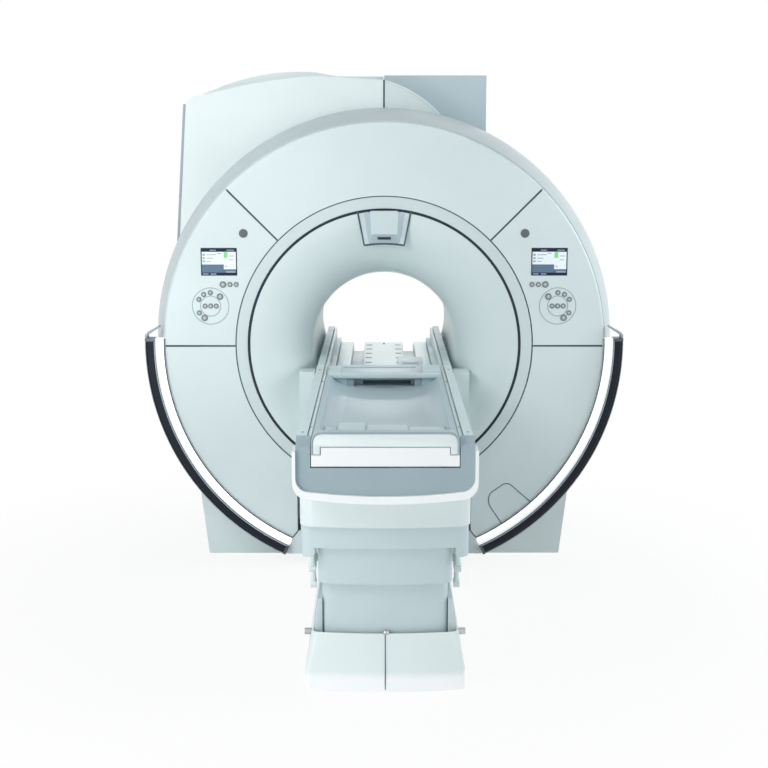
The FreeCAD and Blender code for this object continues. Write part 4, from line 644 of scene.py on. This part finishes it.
bevelEdges(bm, [edge for edge in bm.edges if edge not in rings[0]], pod["noseEdge"],
           pod["noseSegments"])
bm.normal_update()
for face in bm.faces:
    # painted shade: faces turned away from the front take the darker side material
    face.material_index = 0 if abs(face.normal.y) > pod["facing"] else 1
addPiece("podNose", bm, [podShadedFace, podShadedSide], sharp=pod["noseSharp"])


# lines of the covers: crown seam, notches by the table, painted shade in the service hatch's
# groove and along the left edge, and a painted highlight on the crest
coverLines = {
    "crown": ((-0.0042, -0.4206, 2.150), (0.0042, -0.4160, 2.352)), "crownEdge": 0.0004,
    "bead": 0.0022,
    "notch": [(0.4243, 0.360), (0.4243, 0.1735), (0.4638, 0.1210)], "notchFront": -0.7985,
    "hatch": [(0.581, 0.202), (0.5115, 0.304), (0.5115, 0.356), (0.585, 0.4085), (0.613, 0.4085),
              (0.721, 0.313)],
    "hatchCorner": 0.036, "hatchFront": -0.7998,
    "leftEdge": [(-0.9825, 2.236), (-1.0355, 1.500)], "leftHalf": 0.0065,
    "leftDepth": (-0.4202, -0.4180), "leftBevel": 0.0003,
    "crestCentre": (-0.1379, 1.8062), "crestRadius": 0.5595, "crestTurn": (15.6, 47.2),
    "crestSteps": 24, "crestFront": -0.4206, "crestBead": 0.0034,
}
bm = bmesh.new()
addBlock(bm, *coverLines["crown"], edge=coverLines["crownEdge"])
addPiece("crownSeam", bm, rubberGrey)
bm = bmesh.new()
for side in (-1, 1):
    addWire(bm, [(side * x, coverLines["notchFront"], z) for x, z in coverLines["notch"]],
            coverLines["bead"])
addPiece("notchGasket", bm, seamGrey)
# painted shade: a dark bead laid in the service hatch's groove
bm = bmesh.new()
addWire(bm, roundCorners([(x, coverLines["hatchFront"], z) for x, z in coverLines["hatch"]],
                         coverLines["hatchCorner"]), coverLines["bead"])
addPiece("hatchGrooveShade", bm, rubberGrey)
# painted shade: a dark strip on the left cover's front edge, where its side turns away from the
# light
bm = bmesh.new()
(topX, topZ), (lowX, lowZ) = coverLines["leftEdge"]
half = coverLines["leftHalf"]
addPrism(bm, [(lowX - half, lowZ), (lowX + half, lowZ), (topX + half, topZ), (topX - half, topZ)],
         *coverLines["leftDepth"], edge=coverLines["leftBevel"])
addPiece("leftCoverShadeStrip", bm, edgeShade)
# painted highlight: a pale bead along the crest cover's front edge, where its rounded edge catches
# the light
bm = bmesh.new()
start, end = coverLines["crestTurn"]
centreX, centreZ = coverLines["crestCentre"]
edgePoints = []
for step in range(coverLines["crestSteps"] + 1):
    angle = math.radians(start + (end - start) * step / coverLines["crestSteps"])
    edgePoints.append((centreX + coverLines["crestRadius"] * math.sin(angle),
                       coverLines["crestFront"],
                       centreZ + coverLines["crestRadius"] * math.cos(angle)))
addWire(bm, edgePoints, coverLines["crestBead"])
addPiece("crestHighlight", bm, coverWhite)
print("stage: cover lines")


# bore deck: raised panel, side strips, slots, pointer and coil socket; corners of each block
deck = {
    "edge": 0.003,
    "panel": ((-0.108, -0.440, 0.8995), (0.108, 0.512, 0.9120)),
    "strip": ((0.172, -0.392, 0.8995), (0.243, 0.484, 0.9180)),
    "slotX": 0.081, "slotHalf": (0.0165, 0.0090), "slotRows": 6, "slotEnds": (-0.354, 0.403),
    "slotDepth": (0.9118, 0.9126), "slotEdge": 0.0003,
    "pointer": [((-0.0085, 0.436, 0.9118), (0.0125, 0.447, 0.9132)),
                ((-0.0015, 0.447, 0.9118), (0.0055, 0.486, 0.9132))],
    "pointerEdge": 0.0004,
    "socket": ((0.072, -0.520, 0.9110), (0.205, -0.060, 0.9195)), "socketEdge": 0.0035,
    "plates": [((0.088, -0.500, 0.9188), (0.188, -0.330, 0.9202)),
               ((0.096, -0.300, 0.9188), (0.180, -0.250, 0.9202))],
    "plateEdge": 0.0005,
}
bm = bmesh.new()
addBlock(bm, *deck["panel"], edge=deck["edge"], segments=3)
addPiece("deckPanel", bm, deckLight)
bm = bmesh.new()
low, high = deck["strip"]
for side in (-1, 1):
    xs = sorted((side * low[0], side * high[0]))
    addBlock(bm, (xs[0], *low[1:]), (xs[1], *high[1:]), edge=deck["edge"], segments=3)
addPiece("deckStrips", bm, deckLight)
bm = bmesh.new()
first, last = deck["slotEnds"]
halfX, halfY = deck["slotHalf"]
low, high = deck["slotDepth"]
for row in range(deck["slotRows"]):
    y = first + (last - first) * row / (deck["slotRows"] - 1)
    for side in (-1, 1):
        x = side * deck["slotX"]
        addBlock(bm, (x - halfX, y - halfY, low), (x + halfX, y + halfY, high),
                 edge=deck["slotEdge"])
addPiece("deckSlots", bm, rubberDark)
bm = bmesh.new()
for low, high in deck["pointer"]:
    addBlock(bm, low, high, edge=deck["pointerEdge"])
addPiece("deckPointer", bm, rubberGrey)
bm = bmesh.new()
addBlock(bm, *deck["socket"], edge=deck["socketEdge"], segments=3)
for low, high in deck["plates"]:
    addBlock(bm, low, high, edge=deck["plateEdge"], tint=1)
addPiece("coilSocket", bm, [finishes["stage"], edgeShade])


# table top: thin inner rails and screws
tableTop = {
    "inner": (0.2686, 0.2812), "innerZ": (0.9386, 0.9980), "innerEdge": 0.0025,
    "innerRails": (-2.3850, -0.8360), "bridgeRails": (-0.7990, 0.5190),
    "outerScrews": [(0.301, -0.980), (0.301, -2.330)], "outerTop": 1.0052,
    "innerScrews": [(0.275, -1.256), (0.275, -2.215), (0.275, -2.372)], "innerTop": 0.9982,
    "screwRadius": 0.0042, "screwThick": 0.0016, "screwSegments": 16,
}
for name, body in (("innerRails", "table"), ("bridgeRails", "root")):
    bm = bmesh.new()
    for side in (-1, 1):
        xs = sorted(side * value for value in tableTop["inner"])
        addBlock(bm, (xs[0], tableTop[name][0], tableTop["innerZ"][0]),
                 (xs[1], tableTop[name][1], tableTop["innerZ"][1]), edge=tableTop["innerEdge"],
                 segments=3)
    addPiece(name, bm, finishes["rail"], body=body)
bm = bmesh.new()
for row in ("outer", "inner"):
    for x, y in tableTop[row + "Screws"]:
        for side in (-1, 1):
            made = bmesh.ops.create_cone(bm, cap_ends=True, segments=tableTop["screwSegments"],
                                         depth=tableTop["screwThick"],
                                         radius1=tableTop["screwRadius"],
                                         radius2=tableTop["screwRadius"])
            bmesh.ops.translate(bm, verts=made["verts"],
                                vec=(side * x, y, tableTop[row + "Top"]))
addPiece("railScrews", bm, rubberGrey, body="table")

# cradle: lip and face of its end cap, head bar, painted shade in the head recess, foot board and
# strap
cradleTop = {
    "lip": [(-0.2622, -2.4385, 0.9500), (-0.2622, -2.4385, 1.0252), (0.2622, -2.4385, 1.0252),
            (0.2622, -2.4385, 0.9500)],
    "lipCorner": 0.040, "lipRadius": 0.0046,
    "face": [(-0.2580, 0, 0.9480), (-0.2580, 0, 1.0210), (0.2580, 0, 1.0210), (0.2580, 0, 0.9480)],
    "faceCorner": 0.036, "faceDepth": (-2.4412, -2.4392), "faceEdge": 0.0005,
    "faceInner": [(0.2345, 0.9480), (0.2345, 0.9760), (-0.2345, 0.9760), (-0.2345, 0.9480)],
    "headBar": ((-0.2600, -1.0750, 0.9790), (0.2600, -1.0300, 1.0040)), "barEdge": 0.007,
    "barLumps": [((-0.258, -1.070, 1.000), (-0.205, -0.905, 1.011)),
                 ((0.175, -1.060, 1.000), (0.258, -0.900, 1.016)),
                 ((-0.120, -1.068, 1.001), (-0.030, -1.034, 1.0075)),
                 ((0.040, -1.068, 1.001), (0.120, -1.034, 1.0075)),
                 ((-0.190, -0.895, 0.9995), (0.150, -0.845, 1.0055))],
    "lumpEdge": 0.004,
    "recessTop": ((-0.171, -1.0552, 0.9740), (0.171, -1.0470, 0.9775)), "recessTopEdge": 0.001,
    "recessSides": ((0.140, -1.0545, 0.9410), (0.171, -0.9960, 0.9775)), "recessSideEdge": 0.002,
    "recessShadeSlot": ((-0.100, -0.9975, 0.9412), (0.124, -0.9945, 0.9580)), "recessSlotEdge": 0.002,
    "footBoard": [(-0.2305, 0.978), (0.2305, 0.978), (0.2305, 0.9395), (0.150, 0.9395),
                  (0.120, 0.930), (-0.120, 0.930), (-0.150, 0.9395), (-0.2305, 0.9395)],
    "boardDepth": (-2.095, -2.306), "boardEdge": 0.006,
    "strap": [((-0.177, -2.290, 0.9770), (-0.076, -2.106, 0.9950)),
              ((-0.070, -2.290, 0.9770), (0.086, -2.112, 0.9870)),
              ((0.092, -2.290, 0.9770), (0.226, -2.130, 0.9825)),
              ((-0.226, -2.290, 0.9770), (-0.183, -2.130, 0.9825))],
    "strapEdge": 0.0045,
}
bm = bmesh.new()
addWire(bm, roundCorners(cradleTop["lip"], cradleTop["lipCorner"]), cradleTop["lipRadius"])
addPiece("capLip", bm, edgeShade, body="cradle")
bm = bmesh.new()
crown = roundCorners(cradleTop["face"], cradleTop["faceCorner"])
addPrism(bm, [(point.x, point.z) for point in crown] + cradleTop["faceInner"],
         *cradleTop["faceDepth"], edge=cradleTop["faceEdge"])
addPiece("capFace", bm, coverWhite, body="cradle")
bm = bmesh.new()
addBlock(bm, *cradleTop["headBar"], edge=cradleTop["barEdge"], segments=3)
for low, high in cradleTop["barLumps"]:
    addBlock(bm, low, high, edge=cradleTop["lumpEdge"], segments=3)
addPiece("headBar", bm, finishes["stage"], body="cradle")
# painted shade: the head recess's frame and a dark slab at its back wall stand in for the shade
# inside the recess
bm = bmesh.new()
addBlock(bm, *cradleTop["recessTop"], edge=cradleTop["recessTopEdge"])
low, high = cradleTop["recessSides"]
for side in (-1, 1):
    xs = sorted((side * low[0], side * high[0]))
    addBlock(bm, (xs[0], *low[1:]), (xs[1], *high[1:]), edge=cradleTop["recessSideEdge"])
addPiece("recessShadeFrame", bm, edgeShade, body="cradle")
bm = bmesh.new()
addBlock(bm, *cradleTop["recessShadeSlot"], edge=cradleTop["recessSlotEdge"])
addPiece("recessShadeSlot", bm, rubberGrey, body="cradle")
bm = bmesh.new()
addPrism(bm, cradleTop["footBoard"], *cradleTop["boardDepth"], edge=cradleTop["boardEdge"],
         segments=3)
addPiece("footBoard", bm, finishes["cradle"], body="cradle")
bm = bmesh.new()
for low, high in cradleTop["strap"]:
    addBlock(bm, low, high, edge=cradleTop["strapEdge"], segments=3)
addPiece("footStrap", bm, finishes["bridge"], body="cradle")
print("stage: table top")


# foot of the table: side links, infill of the fairings, foot seam and knob
tableFoot = {
    "upperLinks": ((0.2720, -2.100, 0.3850), (0.2985, -2.035, 0.5310)),
    "middleLinks": ((0.2725, -2.028, 0.2980), (0.2965, -1.970, 0.4480)),
    "barFoot": 0.080, "barEdge": 0.004,
    "neckRange": (0.030, 0.095), "neckInset": (0.003, 0.006), "neckEdge": 0.006,
    "eyeRadius": 0.019, "eyeSegments": 32,
    "bracketInner": 0.2525, "bracketSunk": 0.004, "bracketRange": (0.035, 0.003),
    "bracketEdge": 0.003,
    "fairing": [(0.2386, 0.1000), (0.2690, 0.1000), (0.2690, 0.2350), (0.2625, 0.2850),
                (0.2535, 0.3340), (0.2535, 0.3420), (0.2386, 0.3420)],
    "fairingDepth": (-2.2600, -2.1500), "fairingEdge": 0.002,
    "seam": [(0, -2.3128, 0.2215), (0, -2.3368, 0.0790), (0, -2.3362, 0.0100)],
    "seamBead": 0.0016,
    "knob": (0.003, -2.306, 0.2255), "knobRadius": 0.013, "knobScale": (1, 0.8, 0.8),
    "knobSegments": (24, 16), "knobSharp": 60,
}
insetX, insetY = tableFoot["neckInset"]
for name, body in (("upperLinks", "cover_upper"), ("middleLinks", "cover_middle")):
    bm = bmesh.new()
    (innerX, front, low), (outerX, back, high) = tableFoot[name]
    for side in (-1, 1):
        xs = sorted((side * innerX, side * outerX))
        addBlock(bm, (xs[0], front, low + tableFoot["barFoot"]), (xs[1], back, high),
                 edge=tableFoot["barEdge"], segments=3)
        addBlock(bm, (xs[0] + insetX, front + insetY, low + tableFoot["neckRange"][0]),
                 (xs[1] - insetX, back - insetY, low + tableFoot["neckRange"][1]),
                 edge=tableFoot["neckEdge"], segments=3)
        made = bmesh.ops.create_cone(bm, cap_ends=True, segments=tableFoot["eyeSegments"],
                                     depth=outerX - innerX, radius1=tableFoot["eyeRadius"],
                                     radius2=tableFoot["eyeRadius"])["verts"]
        bmesh.ops.rotate(bm, cent=(0, 0, 0), verts=made,
                         matrix=Matrix.Rotation(math.pi / 2, 3, "Y"))
        bmesh.ops.translate(bm, verts=made, vec=(side * (innerX + outerX) / 2,
                                                 (front + back) / 2,
                                                 low + tableFoot["eyeRadius"]))
        if name == "middleLinks":   # a bracket carries these across to their narrower cover
            xs = sorted((side * tableFoot["bracketInner"],
                         side * (innerX + tableFoot["bracketSunk"])))
            addBlock(bm, (xs[0], front + insetY, high - tableFoot["bracketRange"][0]),
                     (xs[1], back - insetY, high - tableFoot["bracketRange"][1]),
                     edge=tableFoot["bracketEdge"])
    addPiece(name, bm, coverWhite, body=body)
bm = bmesh.new()
for side in (-1, 1):
    addPrism(bm, [(side * x, z) for x, z in tableFoot["fairing"]], *tableFoot["fairingDepth"],
             edge=tableFoot["fairingEdge"])
addPiece("footFairings", bm, finishes["base"])
bm = bmesh.new()
addWire(bm, tableFoot["seam"], tableFoot["seamBead"])
addPiece("footSeam", bm, rubberGrey)
bm = bmesh.new()
around, along = tableFoot["knobSegments"]
made = bmesh.ops.create_uvsphere(bm, u_segments=around, v_segments=along,
                                 radius=tableFoot["knobRadius"])["verts"]
bmesh.ops.scale(bm, vec=tableFoot["knobScale"], verts=made)
bmesh.ops.translate(bm, verts=made, vec=tableFoot["knob"])
addPiece("footKnob", bm, finishes["pedal"], sharp=tableFoot["knobSharp"])
print("stage: table foot")


# stage, light and camera
studio = {
    "ambient": 0.42, "skyColour": (0.88, 0.95, 1.0, 1), "white": (1, 1, 1, 1),
    "hiddenInGloss": ("rear", "spot"),   # these two light without a mirror patch
}
lamps = {
    "key": {"place": (-3.0, -4.1, 3.5), "aim": (-0.4, -0.8, 1.4), "size": (2.2, 2.2), "power": 64},
    "fill": {"place": (3.2, -6.0, 1.6), "aim": (0, -0.8, 0.8), "size": (3.0, 3.0), "power": 21},
    "low": {"place": (-2.6, -5.2, 0.9), "aim": (-0.4, -0.8, 0.5), "size": (2.0, 1.4), "power": 38},
    "rim": {"place": (5.0, -1.6, 3.2), "aim": (0.9, -0.6, 1.7), "size": (2.2, 2.2), "power": 125},
    "spot": {"place": (-1.4, -2.4, 2.2), "aim": (-0.8, -0.8, 1.7), "size": (0.7, 0.7), "power": 6},
    "rear": {"place": (0, 4.0, 2.0), "aim": (0, -0.3, 0.95), "size": (2.0, 2.0), "power": 84},
    "glint": {"place": (0, 3.6, 2.3), "aim": (0, -1.2, 0.95), "size": (0.9, 0.5), "power": 11},
}
floorLook = {"colour": (0.9, 0.9, 0.9, 1), "roughness": 0.8, "half": 30,
             "nearShare": 0.87, "nearReach": 1.3, "farReach": 2.7, "centre": (0, 1.1, 0)}
cameraSetup = {"place": (-0.016, -6.964, 2.028), "pitchDown": 10.332, "yawRight": 0.14,
               "focalPixels": 1300.0, "framePixels": 768, "sensor": 36.0}


def strongest(tree, sources):
    best = sources[0]
    for source in sources[1:]:
        best = addNode(tree, "ShaderNodeMath", operation="MAXIMUM",
                       links=[(0, best), (1, source)]).outputs[0]
    return best


def buildStage():
    bm = bmesh.new()
    bmesh.ops.create_grid(bm, x_segments=2, y_segments=2, size=floorLook["half"])
    mesh = bpy.data.meshes.new("floor")
    bm.to_mesh(mesh)
    bm.free()
    floor = bpy.data.objects.new("floor", mesh)
    scene.collection.objects.link(floor)
    material, tree, shader = startMaterial("paleFloor")
    shader.inputs["Base Color"].default_value = floorLook["colour"]
    shader.inputs["Roughness"].default_value = floorLook["roughness"]
    path = addNode(tree, "ShaderNodeLightPath")
    glow = addNode(tree, "ShaderNodeEmission", in_Color=studio["white"], in_Strength=1.0)
    place = addNode(tree, "ShaderNodeVectorMath", operation="ADD",
                    links=[(0, addNode(tree, "ShaderNodeTexCoord").outputs["Object"])])
    place.inputs[1].default_value = floorLook["centre"]
    reach = addNode(tree, "ShaderNodeVectorMath", operation="LENGTH",
                    links=[(0, place.outputs[0])])
    spread = mapRange(tree, reach.outputs["Value"], floorLook["nearShare"], 1.0,
                      floorLook["nearReach"], floorLook["farReach"])
    seen = strongest(tree, [path.outputs["Is Camera Ray"], path.outputs["Is Glossy Ray"],
                            path.outputs["Is Transmission Ray"]])
    share = addNode(tree, "ShaderNodeMath", operation="MULTIPLY",
                    links=[(0, seen), (1, spread)]).outputs[0]
    blend = addNode(tree, "ShaderNodeMixShader",
                    [(0, share), (1, shader.outputs[0]), (2, glow.outputs[0])])
    tree.links.new(blend.outputs[0], tree.nodes["Material Output"].inputs["Surface"])
    mesh.materials.append(material)


def buildWorld():
    world = bpy.data.worlds.new("studio")
    scene.world = world
    world.use_nodes = True
    tree = world.node_tree
    sky = tree.nodes["Background"]
    sky.inputs["Color"].default_value = studio["skyColour"]
    sky.inputs["Strength"].default_value = studio["ambient"]
    white = addNode(tree, "ShaderNodeBackground", in_Color=studio["white"], in_Strength=1.0)
    path = addNode(tree, "ShaderNodeLightPath")
    seen = strongest(tree, [path.outputs["Is Camera Ray"], path.outputs["Is Glossy Ray"],
                            path.outputs["Is Transmission Ray"]])
    blend = addNode(tree, "ShaderNodeMixShader",
                    [(0, seen), (1, sky.outputs[0]), (2, white.outputs[0])])
    tree.links.new(blend.outputs[0], tree.nodes["World Output"].inputs["Surface"])


def addLamp(name, place, aim, size, power):
    data = bpy.data.lights.new(name, "AREA")
    data.shape = "RECTANGLE"
    data.size, data.size_y = size
    data.energy = power
    lamp = bpy.data.objects.new(name, data)
    lamp.location = place
    lamp.rotation_mode = "QUATERNION"
    lamp.rotation_quaternion = (Vector(aim) - Vector(place)).to_track_quat("-Z", "Y")
    lamp.visible_glossy = name not in studio["hiddenInGloss"]
    scene.collection.objects.link(lamp)


buildStage()
buildWorld()
for name, settings in lamps.items():
    addLamp(name, **settings)

cameraData = bpy.data.cameras.new("photoView")
cameraData.sensor_width = cameraSetup["sensor"]
cameraData.lens = cameraSetup["focalPixels"] / cameraSetup["framePixels"] * cameraSetup["sensor"]
camera = bpy.data.objects.new("photoView", cameraData)
camera.location = cameraSetup["place"]
camera.rotation_euler = (math.radians(90 - cameraSetup["pitchDown"]), 0,
                         math.radians(-cameraSetup["yawRight"]))
scene.collection.objects.link(camera)
scene.camera = camera
scene.view_settings.view_transform = "Standard"
print("stage: studio and camera")
